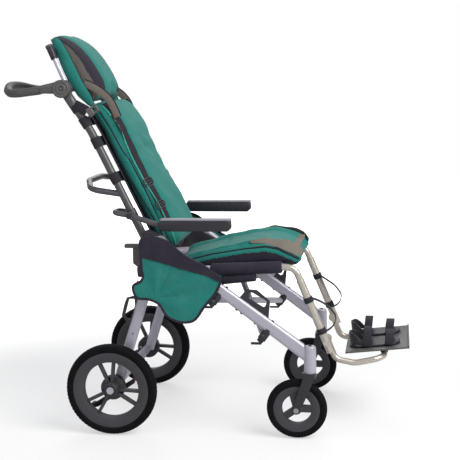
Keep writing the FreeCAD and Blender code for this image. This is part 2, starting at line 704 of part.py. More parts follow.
def tyre(x, y, z, outer, bead, width, rim_width):
    """Tyre with a flattened tread, bulging sides and a flat seat on the rim."""
    half = width / 2
    rim_half = rim_width / 2
    wall = bead + (outer - bead) * 0.35
    shoulder = outer - (outer - bead) * 0.28
    return turned([
        ("line", (bead, -rim_half), (bead, rim_half)),
        ("arc", (bead, rim_half), (wall, half), (shoulder, half - 2.5)),
        ("arc", (shoulder, half - 2.5), (outer, 0), (shoulder, 2.5 - half)),
        ("arc", (shoulder, 2.5 - half), (wall, -half), (bead, -rim_half)),
    ], x, y, z)


def rim_ring(x, y, z, bead, opening, width):
    """Rim with a dished face each side."""
    half = width / 2
    waist = half * 0.62
    return turned([
        ("line", (bead, -half), (bead, half)),
        ("line", (bead, half), (bead - 7, half)),
        ("line", (bead - 7, half), (opening, waist)),
        ("line", (opening, waist), (opening, -waist)),
        ("line", (opening, -waist), (bead - 7, -half)),
        ("line", (bead - 7, -half), (bead, -half)),
    ], x, y, z)


def spoke(x, y, z, angle, inner, outer, width, thick):
    """Straight spoke from the hub to the rim."""
    bar = Part.makeBox(outer - inner, thick, width, V(inner, -thick / 2, -width / 2))
    bar.rotate(V(0, 0, 0), V(0, 1, 0), -angle)
    bar.translate(V(x, y, z))
    return bar


def rear_rim(side):
    """Rim, the hub and drum with its ring of lock holes, and thin spokes in pairs welded between them."""
    y = side * REAR_WHEEL_Y
    face = side * (REAR_WHEEL_Y - REAR_TYRE_W / 2)
    rim = rim_ring(0, y, AXLE_Z, REAR_TYRE_BEAD_R, REAR_RIM_OPEN_R, REAR_RIM_W)
    hub = cross_rod(0, AXLE_Z, face, y + side * REAR_RIM_W / 2, REAR_HUB_R)
    hub = hub.fuse(cross_rod(0, AXLE_Z, face, face + side * DRUM_DEPTH, DRUM_R)).removeSplitter()
    cutters = [cross_rod(0, AXLE_Z, face - side * HUB_R, y + side * REAR_TYRE_W, STUB_R + SHAFT_CLEAR)]
    for index in range(LOCK_HOLES):
        place = polar(180 + index * 360 / LOCK_HOLES) * LOCK_PIN_CIRCLE_R
        cutters.append(cross_rod(place.x, AXLE_Z + place.z, face - side * 2,
                                 face + side * (LOCK_PIN_TRAVEL + 1), LOCK_HOLE_R))
    hub = hub.cut(Part.makeCompound(cutters))
    centre = cross_rod(0, AXLE_Z, face, y + side * REAR_RIM_W / 2, REAR_HUB_R)
    drum = cross_rod(0, AXLE_Z, face, face + side * DRUM_DEPTH, DRUM_R)
    spokes = []
    for angle in REAR_SPOKE_ANGLES:
        bar = spoke(0, y, AXLE_Z, angle, 0, REAR_RIM_OPEN_R + REAR_SPOKE_W, REAR_SPOKE_W, REAR_SPOKE_T)
        bar = bar.cut(rim).cut(centre).cut(drum)
        for other in spokes:
            bar = bar.cut(other)
        spokes.append(sorted(bar.Solids, key=lambda solid: solid.Volume)[-1])
    return [rim, hub] + spokes


def make_rear_wheels():
    """Tyre and rim of each rear wheel."""
    for name, side in SIDES:
        save("rear_tyre_" + name, tyre(0, side * REAR_WHEEL_Y, AXLE_Z, REAR_WHEEL_D / 2, REAR_TYRE_BEAD_R,
                                       REAR_TYRE_W, REAR_RIM_W))
        save("rear_rim_" + name, *rear_rim(side))


def caster_fork(side):
    """Fork with its stem, crown and two trailing blades, and the nut on the stem."""
    y = side * FRONT_LEG_Y
    gap = CASTER_TYRE_W / 2 + FORK_GAP
    crown_top = HOUSING_FOOT_Z - FACE_CLEAR
    crown_foot = crown_top - CROWN_T
    half = gap + FORK_BLADE_T
    crown = block(CASTER_X - 22, CASTER_X + 18, y - half, y + half, crown_foot, crown_top)
    crown = rounded(crown, 8.0, V(0, 0, 1))
    blades = []
    for way in (-1, 1):
        y0 = y + way * gap
        y1 = y + way * half
        outline = [(CASTER_X - 20, crown_foot + 3), (CASTER_X + 14, crown_foot + 3), (CASTER_X + 2, crown_foot - 30),
                   (CASTER_AXLE_X + FORK_TIP_R, CASTER_AXLE_Z), (CASTER_AXLE_X - FORK_TIP_R, CASTER_AXLE_Z)]
        blades.append(profile(outline, y0, y1))
        blades.append(cross_rod(CASTER_AXLE_X, CASTER_AXLE_Z, y0, y1, FORK_TIP_R))
    stem = rod(V(CASTER_X, y, crown_foot + 2), V(CASTER_X, y, HOUSING_FOOT_Z + STEM_LENGTH), STEM_R)
    nut_foot = HOUSING_FOOT_Z + STEM_BEARING_RISE + BEARING_T + FACE_CLEAR
    nut = rod(V(CASTER_X, y, nut_foot), V(CASTER_X, y, nut_foot + 7), STEM_NUT_R)
    fork = crown.multiFuse(blades + [stem, nut]).removeSplitter()
    return fork.cut(cross_rod(CASTER_AXLE_X, CASTER_AXLE_Z, y - half - 2, y + half + 2, CASTER_AXLE_R))


def caster_axle(side):
    """Axle bolt with a head and a nut outside the fork's blades, and a spacer inside each."""
    y = side * FRONT_LEG_Y
    half = CASTER_TYRE_W / 2 + FORK_GAP + FORK_BLADE_T
    inner = CASTER_TYRE_W / 2 + FORK_GAP
    hub = CASTER_RIM_W / 2 + FACE_CLEAR
    bolt = cross_rod(CASTER_AXLE_X, CASTER_AXLE_Z, y - half - 4, y + half + 4, CASTER_AXLE_R)
    for way in (-1, 1):
        head = cross_rod(CASTER_AXLE_X, CASTER_AXLE_Z, y + way * half, y + way * (half + 4), CASTER_BOLT_HEAD_R)
        spacer = cross_rod(CASTER_AXLE_X, CASTER_AXLE_Z, y + way * hub, y + way * inner, CASTER_BOLT_HEAD_R)
        bolt = bolt.fuse([head, spacer])
    return bolt.removeSplitter()


def front_rim(side):
    """Rim, three broad spokes and hub of a caster wheel."""
    y = side * FRONT_LEG_Y
    x = CASTER_AXLE_X
    z = CASTER_AXLE_Z
    pieces = [rim_ring(x, y, z, CASTER_TYRE_BEAD_R, CASTER_RIM_OPEN_R, CASTER_RIM_W)]
    for angle in CASTER_SPOKE_ANGLES:
        pieces.append(spoke(x, y, z, angle, CASTER_HUB_R - 4, CASTER_RIM_OPEN_R + 3, CASTER_SPOKE_W, 12))
    pieces.append(cross_rod(x, z, y - CASTER_RIM_W / 2, y + CASTER_RIM_W / 2, CASTER_HUB_R))
    rim = pieces[0].multiFuse(pieces[1:]).removeSplitter()
    return rim.cut(cross_rod(x, z, y - 30, y + 30, CASTER_AXLE_R + SHAFT_CLEAR))


def make_casters():
    """Fork, axle bolt, tyre and rim of each caster."""
    for name, side in SIDES:
        save("caster_fork_" + name, caster_fork(side))
        save("caster_axle_" + name, caster_axle(side))
        save("front_tyre_" + name, tyre(CASTER_AXLE_X, side * FRONT_LEG_Y, CASTER_AXLE_Z, CASTER_WHEEL_D / 2,
                                        CASTER_TYRE_BEAD_R, CASTER_TYRE_W, CASTER_RIM_W))
        save("front_rim_" + name, front_rim(side))


RAIL_WAY = V(RAIL_FRONT_X - RAIL_REAR_X, 0, RAIL_FRONT_Z - RAIL_REAR_Z).normalize()


def rail_z(x):
    """Height of the seat rail's middle line."""
    return RAIL_REAR_Z + (x - RAIL_REAR_X) * RAIL_WAY.z / RAIL_WAY.x


def rail_point(x, side):
    """Point on the seat rail's middle line."""
    return V(x, side * RAIL_Y, rail_z(x))


def seat_side_plate(side):
    """Plate that hangs on the hinge bolt and carries the rail, the back's pivot and the skirt's rod."""
    y0 = side * PLATE_Y
    y1 = side * (PLATE_Y + PLATE_T)
    outline = [(PLATE_EAR_X - 14, PLATE_EAR_Z + 6), (PLATE_EAR_X + 10, PLATE_EAR_Z + 14),
               (HINGE_X + 18, HINGE_Z + 14), (HINGE_X + 24, HINGE_Z - 16), (300, rail_z(300) + 14),
               (304, rail_z(304) - 14), (RAIL_REAR_X - 4, RAIL_REAR_Z - 14), (RAIL_REAR_X - 6, RAIL_REAR_Z + 16),
               (BACK_PIVOT_X - 24, BACK_PIVOT_Z + 14)]
    plate = rounded(profile(outline, y0, y1), 6.0)
    plate = plate.fuse(cross_rod(SKIRT_ROD_X, SKIRT_ROD_Z, y0, side * (SKIRT_Y - SKIRT_T / 2), SKIRT_ROD_R))
    plate = plate.cut(cross_rod(HINGE_X, HINGE_Z, y0 - side * 5, y1 + side * 5, HINGE_BOLT_R + SHAFT_CLEAR))
    return plate.cut(cross_rod(BACK_PIVOT_X, BACK_PIVOT_Z, y0 - side * 5, y1 + side * 5, BACK_BOLT_R))


def back_pivot_bolt(side):
    """Bolt through the side plate and the foot of the cane."""
    y0 = side * (CANE_Y - CANE_R - 4)
    y1 = side * (PLATE_Y + PLATE_T + 3)
    bolt = cross_rod(BACK_PIVOT_X, BACK_PIVOT_Z, y0, y1, BACK_BOLT_R)
    head = cross_rod(BACK_PIVOT_X, BACK_PIVOT_Z, side * (PLATE_Y + PLATE_T), y1, BACK_BOLT_R + 4)
    nut_out = side * (CANE_Y - CANE_R - CANE_EYE_OVER - FACE_CLEAR)
    nut = cross_rod(BACK_PIVOT_X, BACK_PIVOT_Z, y0, nut_out, BACK_BOLT_R + 4)
    return bolt.fuse([head, nut]).removeSplitter()


def seat_rail(side):
    """Rail tube, open at the front for the legrest tube."""
    tube = rod(rail_point(RAIL_REAR_X, side), rail_point(RAIL_FRONT_X, side), RAIL_R)
    bore = rod(rail_point(RAIL_REAR_X + 8, side), rail_point(RAIL_FRONT_X + 4, side), RAIL_BORE_R)
    return tube.cut(bore)


def rail_cover(side):
    """Padded sleeve round the front half of the rail."""
    start = rail_point(RAIL_COVER_REAR_X, side)
    end = rail_point(RAIL_FRONT_X - 3, side)
    sleeve = rod(start, end, RAIL_COVER_R)
    inner = side * (PAN_HALF_W + SIDE_CLEAR)
    sleeve = sleeve.cut(rod(start - RAIL_WAY * 2, end + RAIL_WAY * 2, RAIL_R))
    for x in PAN_BAR_XS:
        sleeve = sleeve.cut(cross_rod(x, rail_z(x) - PAN_BAR_DROP, -RAIL_Y, RAIL_Y, CROSS_BAR_R))
    return sleeve.cut(block(start.x - 40, end.x + 40, 0, inner, 400, 620))


def seat_roll(side):
    """Short roll strapped under the rail."""
    drop = RAIL_WAY.cross(V(0, 1, 0)) * (RAIL_COVER_R + ROLL_R + 0.1)
    if drop.z > 0:
        drop = drop * -1
    return rod(rail_point(ROLL_REAR_X, side) + drop, rail_point(ROLL_FRONT_X, side) + drop, ROLL_R)


def seat_cross_bars():
    """Cross bars from rail to rail, coped to them: one at the lever and two lower ones under the pan."""
    bars = []
    for x, drop in [(LEVER_BAR_X, 0)] + [(x, PAN_BAR_DROP) for x in PAN_BAR_XS]:
        bar = cross_rod(x, rail_z(x) - drop, -RAIL_Y, RAIL_Y, CROSS_BAR_R)
        for _, side in SIDES:
            bar = bar.cut(rod(rail_point(RAIL_REAR_X - 5, side), rail_point(RAIL_FRONT_X + 5, side), RAIL_R))
        bars.append(sorted(bar.Solids, key=lambda solid: solid.Volume)[-1])
    return bars


def seat_pan():
    """Ribbed pan that lies on the cross bars between the rails."""
    start = V(PAN_REAR_X, 0, rail_z(PAN_REAR_X))
    length = (RAIL_FRONT_X - PAN_REAR_X) / RAIL_WAY.x
    up = V(-RAIL_WAY.z, 0, RAIL_WAY.x)
    pan = Part.makeBox(length, 2 * PAN_HALF_W, PAN_T, V(0, -PAN_HALF_W, 0))
    for index in range(5):
        rib = Part.makeBox(length - 20, 5, 7, V(10, -120 + index * 60, -7))
        for x in PAN_BAR_XS:
            reach = (x - PAN_REAR_X) / RAIL_WAY.x
            rib = rib.cut(Part.makeBox(28, 9, 12, V(reach - 14, -122 + index * 60, -9)))
        pan = pan.fuse(rib)
    pan = pan.removeSplitter()
    pan.rotate(V(0, 0, 0), V(0, 1, 0), -math.degrees(math.atan2(RAIL_WAY.z, RAIL_WAY.x)))
    pan.translate(start + up * (CROSS_BAR_R - PAN_BAR_DROP))
    for _, side in SIDES:
        pan = pan.cut(rod(rail_point(RAIL_REAR_X, side), rail_point(RAIL_FRONT_X + 9, side), RAIL_R))
    return pan


def pan_top(x):
    """Height of the pan's upper face."""
    return rail_z(x) + (CROSS_BAR_R - PAN_BAR_DROP + PAN_T) / RAIL_WAY.x


def pad_section(centre, along_y, normal, half_w, foot, edge, crown, side_bulge=4.0):
    """Closed section of a cushion: flat back, bulging sides and a crowned front."""
    def place(y, height):
        return centre + along_y * y + normal * height
    middle = (foot + edge) / 2
    return Part.Wire([
        Part.LineSegment(place(half_w - 4, foot), place(4 - half_w, foot)).toShape(),
        Part.Arc(place(4 - half_w, foot), place(-half_w - side_bulge / 2, middle),
                 place(6 - half_w, edge)).toShape(),
        Part.Arc(place(6 - half_w, edge), place(0, edge + crown), place(half_w - 6, edge)).toShape(),
        Part.Arc(place(half_w - 6, edge), place(half_w + side_bulge / 2, middle),
                 place(half_w - 4, foot)).toShape(),
    ])


def seat_cushion():
    """Contoured seat cushion, thin at the back and drooping over the front cross bar."""
    wires = []
    last = len(SEAT_TOP_XS) - 1
    for index, (x, top) in enumerate(zip(SEAT_TOP_XS, SEAT_TOP_ZS)):
        foot = pan_top(x) + FACE_CLEAR
        half = SEAT_CUSHION_HALF_W
        if index in (0, last):
            half = half - 10
        if index == last:
            foot = SEAT_NOSE_Z
        wires.append(pad_section(V(x, 0, 0), V(0, 1, 0), V(0, 0, 1), half, foot, top, SEAT_CROWN))
    pad = Part.makeLoft(wires, True, False).cut(seat_pan())
    return sorted(pad.Solids, key=lambda solid: solid.Volume)[-1]


def seat_cushion_top(x, y):
    """Height of the seat cushion's upper face near its middle."""
    for x0, x1, z0, z1 in zip(SEAT_TOP_XS, SEAT_TOP_XS[1:], SEAT_TOP_ZS, SEAT_TOP_ZS[1:]):
        if x0 <= x <= x1:
            share = (x - x0) / (x1 - x0)
            return z0 + (z1 - z0) * share + SEAT_CROWN * (1 - (y / SEAT_CUSHION_HALF_W) ** 2)
    return SEAT_TOP_ZS[-1]


def centre_strap():
    """Strap over the front of the cushion."""
    xs = (440.0, 480.0, 510.0, 540.0, 565.0, 588.0)
    upper = [(x, seat_cushion_top(x, 0) + CENTRE_STRAP_T) for x in xs]
    lower = [(x, z - 3 * CENTRE_STRAP_T) for x, z in reversed(upper)]
    strap = profile(upper + lower, -CENTRE_STRAP_W / 2, CENTRE_STRAP_W / 2).cut(seat_cushion())
    return sorted(strap.Solids, key=lambda solid: solid.Volume)[-1]


SKIRT_OUTLINE = ((111.0, 622.0), (154.0, 624.0), (188.0, 604.0), (206.0, 575.0), (262.0, 552.0), (318.0, 528.0),
                 (354.0, 500.0), (342.0, 466.0), (305.0, 419.0), (262.0, 369.0), (228.0, 366.0), (190.0, 380.0),
                 (155.0, 426.0), (126.0, 437.0), (93.0, 441.0), (82.0, 482.0), (109.0, 493.0), (115.0, 508.0),
                 (110.0, 525.0), (108.0, 575.0))
SKIRT_HUB = (158.0, 500.0)


def side_skirt(side):
    """Hanging cloth side panel: a fan of shallow folds that radiate from its middle."""
    hub_x, hub_z = SKIRT_HUB
    count = len(SKIRT_OUTLINE)
    inner = side * (SKIRT_Y - SKIRT_T / 2)
    solids = []
    for index in range(count):
        first = SKIRT_OUTLINE[index]
        second = SKIRT_OUTLINE[(index + 1) % count]
        lift = SKIRT_FOLD * (1 if index % 2 else -1)
        corners = [V(hub_x, inner, hub_z), V(first[0], inner + side * lift, first[1]),
                   V(second[0], inner - side * lift, second[1])]
        face = Part.Face(Part.makePolygon(corners + corners[:1]))
        solids.append(face.extrude(V(0, side * SKIRT_T, 0)))
    return solids[0].multiFuse(solids[1:]).cut(seat_side_plate(side))


def legrest_line(z):
    """Point of the legrest's straight run at one height."""
    reach = (LEGREST_BEND_Z - z) / math.tan(math.radians(LEGREST_ANGLE))
    return V(LEGREST_BEND_X + reach, 0, z)


def legrest_tube(side):
    """Bent tube from inside the rail down into the sleeve."""
    y = V(0, side * RAIL_Y, 0)
    start = rail_point(RAIL_FRONT_X - 70, side)
    rail_end = rail_point(RAIL_FRONT_X + 2, side)
    knee = V(LEGREST_BEND_X, 0, LEGREST_BEND_Z) + y
    points = [start, rail_end, knee, legrest_line(LEGREST_TUBE_FOOT_Z) + y]
    return bent_bar(points, (60.0, 34.0), LEGREST_TUBE_R, LEGREST_TUBE_R - 2)


def make_seat():
    """Side plates, rails, pan, cushion, strap, skirts and legrest tubes."""
    save("seat_side_plates", *[make(side) for make in (seat_side_plate, back_pivot_bolt) for _, side in SIDES])
    save("seat_rails", *[seat_rail(side) for _, side in SIDES])
    save("rail_covers", *[solid for _, side in SIDES for solid in (rail_cover(side), seat_roll(side))])
    save("seat_cross_bars", *seat_cross_bars())
    save("seat_pan", seat_pan())
    save("seat_cushion", seat_cushion())
    save("centre_strap", centre_strap())
    for name, side in SIDES:
        save("side_skirt_" + name, side_skirt(side))
    save("legrest_tubes", *[legrest_tube(side) for _, side in SIDES])


def tilt_lever():
    """Lever on the rear cross bar with a flat tab on top."""
    x = LEVER_BAR_X
    z = rail_z(x)
    y0 = LEVER_Y - LEVER_W / 2
    y1 = LEVER_Y + LEVER_W / 2
    collar = ring(x, z, y0, y1, LEVER_RING_R, CROSS_BAR_R + SHAFT_CLEAR)
    half = LEVER_STEM_W / 2
    stem = profile([(x - LEVER_RING_R + 1, z + 4), (x + 6, z + LEVER_RING_R - 2), (LEVER_TOP_X + half, z + 33),
                    (LEVER_TOP_X + half, LEVER_TOP_Z), (LEVER_TOP_X - half, LEVER_TOP_Z),
                    (LEVER_TOP_X - half, z + 22)], y0 + 3, y1 - 3)
    tab = block(LEVER_TOP_X - LEVER_TAB_LENGTH * 0.65, LEVER_TOP_X + LEVER_TAB_LENGTH * 0.35, y0, y1,
                LEVER_TOP_Z, LEVER_TOP_Z + LEVER_TAB_T)
    tab = rounded(tab, 4.0)
    bore = cross_rod(x, z, y0 - 2, y1 + 2, CROSS_BAR_R + SHAFT_CLEAR)
    return collar.multiFuse([stem, tab]).cut(bore).removeSplitter()


CANE_FOOT = V(BACK_PIVOT_X, 0, BACK_PIVOT_Z)
CANE_LOW_WAY = polar(180 - CANE_LOW_ANGLE)
CANE_TOP_WAY = polar(180 - CANE_TOP_ANGLE)
CANE_KNEE = CANE_FOOT + CANE_LOW_WAY * CANE_LOW_LENGTH
HUB_PLACE = CANE_KNEE + CANE_TOP_WAY * CANE_TOP_LENGTH
LOW_AHEAD = V(CANE_LOW_WAY.z, 0, -CANE_LOW_WAY.x)
TOP_AHEAD = V(CANE_TOP_WAY.z, 0, -CANE_TOP_WAY.x)
POST_FOOT_Z = HUB_PLACE.z + POST_FOOT_RISE
POST_TOP_Z = POST_FOOT_Z + POST_RISE
HEAD_SLEEVE_TOP_Z = POST_TOP_Z + HEAD_SLEEVE_CAP
HEAD_SLEEVE_FOOT_Z = HEAD_SLEEVE_TOP_Z - HEAD_SLEEVE_LENGTH


def back_cane(side):
    """Cane tube from its pivot to the handle hub, closed round at the foot."""
    y = V(0, side * CANE_Y, 0)
    end = HUB_PLACE - CANE_TOP_WAY * (HUB_R + 1)
    cane = bent_bar([CANE_FOOT + y, CANE_KNEE + y, end + y], (CANE_KNEE_BEND,), CANE_R, CANE_R - CANE_WALL)
    eye_half = CANE_R + CANE_EYE_OVER
    boss = cross_rod(CANE_FOOT.x, CANE_FOOT.z, side * (CANE_Y - eye_half), side * (CANE_Y + eye_half), CANE_EYE_R)
    cane = cane.fuse(boss)
    bore = cross_rod(CANE_FOOT.x, CANE_FOOT.z, side * (CANE_Y - 30), side * (CANE_Y + 30),
                     BACK_BOLT_R + SHAFT_CLEAR)
    return cane.cut(bore).removeSplitter()


def cane_solid(side):
    """Cane without its bore, for coping other pieces."""
    y = V(0, side * CANE_Y, 0)
    return bent_bar([CANE_FOOT + y, CANE_KNEE + y, HUB_PLACE + y], (CANE_KNEE_BEND,), CANE_R)


def cane_hub(side):
    """Inner half of the handle hub, with its socket on the cane and the hub's bolt."""
    hub = cross_rod(HUB_PLACE.x, HUB_PLACE.z, side * HUB_INNER_Y, side * (HUB_SPLIT_Y - FACE_CLEAR), HUB_R)
    y = V(0, side * CANE_Y, 0)
    neck = rod(HUB_PLACE - CANE_TOP_WAY * (HUB_R + 34) + y, HUB_PLACE - CANE_TOP_WAY * 6 + y, CANE_R + 3)
    outer_room = cross_rod(HUB_PLACE.x, HUB_PLACE.z, side * (HUB_SPLIT_Y - FACE_CLEAR), side * 240,
                           HUB_R + 1)
    cane_room = rod(HUB_PLACE - CANE_TOP_WAY * (HUB_R + 60) + y, HUB_PLACE - CANE_TOP_WAY * (HUB_R + 1) + y,
                    CANE_R)
    bolt = cross_rod(HUB_PLACE.x, HUB_PLACE.z, side * (HUB_INNER_Y + 3), side * (HUB_OUTER_Y + 1), HUB_BOLT_R)
    return hub.fuse(neck.cut(outer_room)).cut(cane_room).fuse(bolt).removeSplitter()


def rear_bar():
    """Bar that joins the canes behind the back, bowed to the rear."""
    start = CANE_FOOT + CANE_LOW_WAY * REAR_BAR_S
    right = [V(start.x, -CANE_Y, start.z)]
    right += [V(x, -y, start.z + rise) for x, y, rise in (REAR_BAR_CORNER, REAR_BAR_MIDDLE)]
    left = [V(point.x, -point.y, point.z) for point in reversed(right)]
    bar = bent_bar(right + left, REAR_BAR_BENDS + REAR_BAR_BENDS[::-1], REAR_BAR_R)
    for _, side in SIDES:
        bar = bar.cut(cane_solid(side))
    return sorted(bar.Solids, key=lambda solid: solid.Volume)[-1]


def back_stations():
    """Stations up the back: middle point, forward way, depth of the cushion's front edge."""
    places = [(CANE_FOOT + CANE_LOW_WAY * s, LOW_AHEAD, depth) for s, depth in BACK_LOW_ROWS]
    return places + [(CANE_KNEE + CANE_TOP_WAY * s, TOP_AHEAD, depth) for s, depth in BACK_TOP_ROWS]


def back_cushion():
    """Long back cushion with drawn-in sides and a crowned front."""
    wires = []
    last = len(back_stations()) - 1
    for index, (middle, ahead, depth) in enumerate(back_stations()):
        half = BACK_CUSHION_HALF_W
        if index in (0, last):
            half = half - 12
        wires.append(pad_section(middle, V(0, 1, 0), ahead, half, BACK_CUSHION_REAR, depth, BACK_CUSHION_CROWN))
    pad = Part.makeLoft(wires, True, False).cut(back_panel())
    return sorted(pad.Solids, key=lambda solid: solid.Volume)[-1]


def back_panel():
    """Firm panel behind the cushion, between the canes."""
    front = BACK_CUSHION_REAR - FACE_CLEAR
    rear = front - BACK_PANEL_T
    knee_way = (LOW_AHEAD + TOP_AHEAD).normalize()
    places = [(CANE_FOOT + CANE_LOW_WAY * BACK_PANEL_FOOT_S, LOW_AHEAD), (CANE_KNEE, knee_way),
              (CANE_KNEE + CANE_TOP_WAY * (BACK_TOP_ROWS[-1][0] - 2), TOP_AHEAD)]
    outline = [middle + ahead * front for middle, ahead in places]
    outline += [middle + ahead * rear for middle, ahead in reversed(places)]
    return profile([(point.x, point.z) for point in outline], -BACK_PANEL_HALF_W, BACK_PANEL_HALF_W)


def lace(middle, way, ahead):
    """Webbing strap across the back that wraps round both canes."""
    def slab(y0, y1, d0, d1):
        box = Part.makeBox(LACE_W, abs(y1 - y0), abs(d1 - d0))
        box.Placement = FreeCAD.Placement(V(0, 0, 0), FreeCAD.Rotation(way, V(0, 1, 0), ahead, "XYZ"))
        box.translate(middle - way * (LACE_W / 2) + V(0, min(y0, y1), 0) + ahead * min(d0, d1))
        return box
    rear = BACK_CUSHION_REAR - FACE_CLEAR - BACK_PANEL_T
    strap = slab(-CANE_Y, CANE_Y, rear - 0.6 - LACE_T, rear - 0.6)
    pieces = []
    for _, side in SIDES:
        y = V(0, side * CANE_Y, 0)
        start = middle - way * (LACE_W / 2) + y
        wrap = rod(start, start + way * LACE_W, CANE_R + LACE_T)
        pieces.append(wrap)
    strap = strap.multiFuse(pieces)
    for _, side in SIDES:
        y = V(0, side * CANE_Y, 0)
        strap = strap.cut(rod(middle - way * LACE_W + y, middle + way * LACE_W + y, CANE_R))
    return sorted(strap.Solids, key=lambda solid: solid.Volume)[-1]


def lacing_straps():
    """The straps up the back."""
    straps = [lace(CANE_FOOT + CANE_LOW_WAY * s, CANE_LOW_WAY, LOW_AHEAD) for s in LACE_SS]
    return straps + [lace(CANE_KNEE + CANE_TOP_WAY * LACE_TOP_S, CANE_TOP_WAY, TOP_AHEAD)]


def shoulder_strap(side):
    """Flat webbing down the front of the back cushion near its edge."""
    points = []
    for middle, ahead, depth in back_stations()[1:]:
        share = (SHOULDER_STRAP_Y - SHOULDER_STRAP_W / 2) / BACK_CUSHION_HALF_W
        lift = BACK_CUSHION_CROWN * (1 - share ** 2)
        points.append((middle, ahead, depth + lift + 2.0))
    lower = [middle + ahead * depth for middle, ahead, depth in points]
    upper = [middle + ahead * (depth + SHOULDER_STRAP_T) for middle, ahead, depth in reversed(points)]
    y = side * SHOULDER_STRAP_Y
    return profile([(point.x, point.z) for point in lower + upper], y - SHOULDER_STRAP_W / 2,
                   y + SHOULDER_STRAP_W / 2)


def post_point(z, side):
    """Point on the head support's post at one height."""
    reach = (z - POST_FOOT_Z) / math.tan(math.radians(POST_ANGLE))
    return V(HUB_PLACE.x + POST_AHEAD - reach, side * POST_Y, z)


def head_post(side):
    """Bright post that stands on the hub."""
    post = rod(post_point(HUB_PLACE.z, side), post_point(POST_TOP_Z, side), POST_R)
    room = cross_rod(HUB_PLACE.x, HUB_PLACE.z, side * HUB_INNER_Y, side * (HUB_SPLIT_Y - FACE_CLEAR), HUB_R)
    inner = block(HUB_PLACE.x - HUB_R, HUB_PLACE.x + HUB_R, side * (POST_Y - POST_R), side * HUB_INNER_Y,
                  HUB_PLACE.z - HUB_R, HUB_PLACE.z + HUB_R)
    return sorted(post.cut(room).cut(inner).Solids, key=lambda solid: solid.Volume)[-1]


def make_back():
    """Canes, hubs, rear bar, panel, cushion, straps and head posts."""
    for name, side in SIDES:
        save("back_cane_" + name, back_cane(side))
    save("cane_hubs", *[cane_hub(side) for _, side in SIDES])
    save("rear_bar", rear_bar())
    save("back_panel", back_panel())
    save("back_cushion", back_cushion())
    save("back_straps", *lacing_straps(), *[shoulder_strap(side) for _, side in SIDES])
    save("head_posts", *[head_post(side) for _, side in SIDES])
    save("arm_brackets", *[arm_bracket(side) for _, side in SIDES])


def head_stations():
    """Stations up the head cushion: middle point, forward way, rear and front depth, how far its sides draw in."""
    return [(CANE_KNEE + CANE_TOP_WAY * s, TOP_AHEAD, rear, front, inset) for s, rear, front, inset in HEAD_ROWS]


def head_cushion():
    """Head cushion, curled back at the top."""
    wires = [pad_section(middle, V(0, 1, 0), ahead, HEAD_HALF_W - inset, rear, front, HEAD_CROWN)
             for middle, ahead, rear, front, inset in head_stations()]
    return Part.makeLoft(wires, True, False)


def head_frame(side):
    """Sleeve on a post with the lug that holds the head cushion's side."""
    middle = post_point((HEAD_SLEEVE_FOOT_Z + HEAD_SLEEVE_TOP_Z) / 2, side)
    sleeve = rod(post_point(HEAD_SLEEVE_FOOT_Z, side), post_point(HEAD_SLEEVE_TOP_Z, side), HEAD_SLEEVE_R)
    lug = cross_rod(middle.x, middle.z, side * (HEAD_HALF_W - 12), side * POST_Y, HEAD_LUG_R)
    lug = lug.cut(head_cushion())
    bore = rod(post_point(HEAD_SLEEVE_FOOT_Z - 20, side), post_point(POST_TOP_Z, side), POST_R + SHAFT_CLEAR)
    return sleeve.fuse(lug).cut(bore).removeSplitter()


def make_head():
    """Head frame and head cushion."""
    save("head_frame", *[head_frame(side) for _, side in SIDES])
    save("head_cushion", head_cushion())


def handle_arm(side):
    """Outer hub half and the flat arm behind it."""
    y0 = side * HUB_SPLIT_Y
    y1 = side * HUB_OUTER_Y
    hub = cross_rod(HUB_PLACE.x, HUB_PLACE.z, y0, y1, HUB_R)
    middle = (HUB_SPLIT_Y + HUB_OUTER_Y) / 2
    start = V(HUB_PLACE.x, side * middle, HUB_PLACE.z + HANDLE_ARM_RISE)
    end = V(HANDLE_ARM_REAR_X, side * middle, HANDLE_ARM_REAR_Z)
    arm = Part.makeLoft([oval_wire(start, V(0, 0, 1), HANDLE_ARM_W, HANDLE_ARM_H + 5),
                         oval_wire(end, V(0, 0, 1), HANDLE_ARM_W, HANDLE_ARM_H)], True, True)
    bore = cross_rod(HUB_PLACE.x, HUB_PLACE.z, side * HUB_INNER_Y, side * (HUB_OUTER_Y + 2 * HUB_R),
                     HUB_BOLT_R + SHAFT_CLEAR)
    return hub.fuse(arm).cut(bore).removeSplitter()


def handle_grip():
    """Round grip from arm to arm, bowed to the rear and raised in the middle."""
    middle = (HUB_SPLIT_Y + HUB_OUTER_Y) / 2
    start = V(HANDLE_ARM_REAR_X + GRIP_R, -middle, HANDLE_ARM_REAR_Z)
    right = [start, V(GRIP_CORNER[0], -middle, GRIP_CORNER[1])]
    right += [V(x, -y, z) for x, y, z in (GRIP_SHOULDER, GRIP_MIDDLE)]
    left = [V(point.x, -point.y, point.z) for point in reversed(right)]
    grip = bent_bar(right + left, GRIP_BENDS + GRIP_BENDS[::-1], GRIP_R)
    reach = 2 * GRIP_R
    return grip.cut(block(HANDLE_ARM_REAR_X, start.x + reach, -middle - reach, middle + reach,
                          HANDLE_ARM_REAR_Z - reach, HANDLE_ARM_REAR_Z + reach))


def make_handle():
    """Handle arms and grip."""
    save("handle_arms", *[handle_arm(side) for _, side in SIDES])
    save("handle_grip", handle_grip())


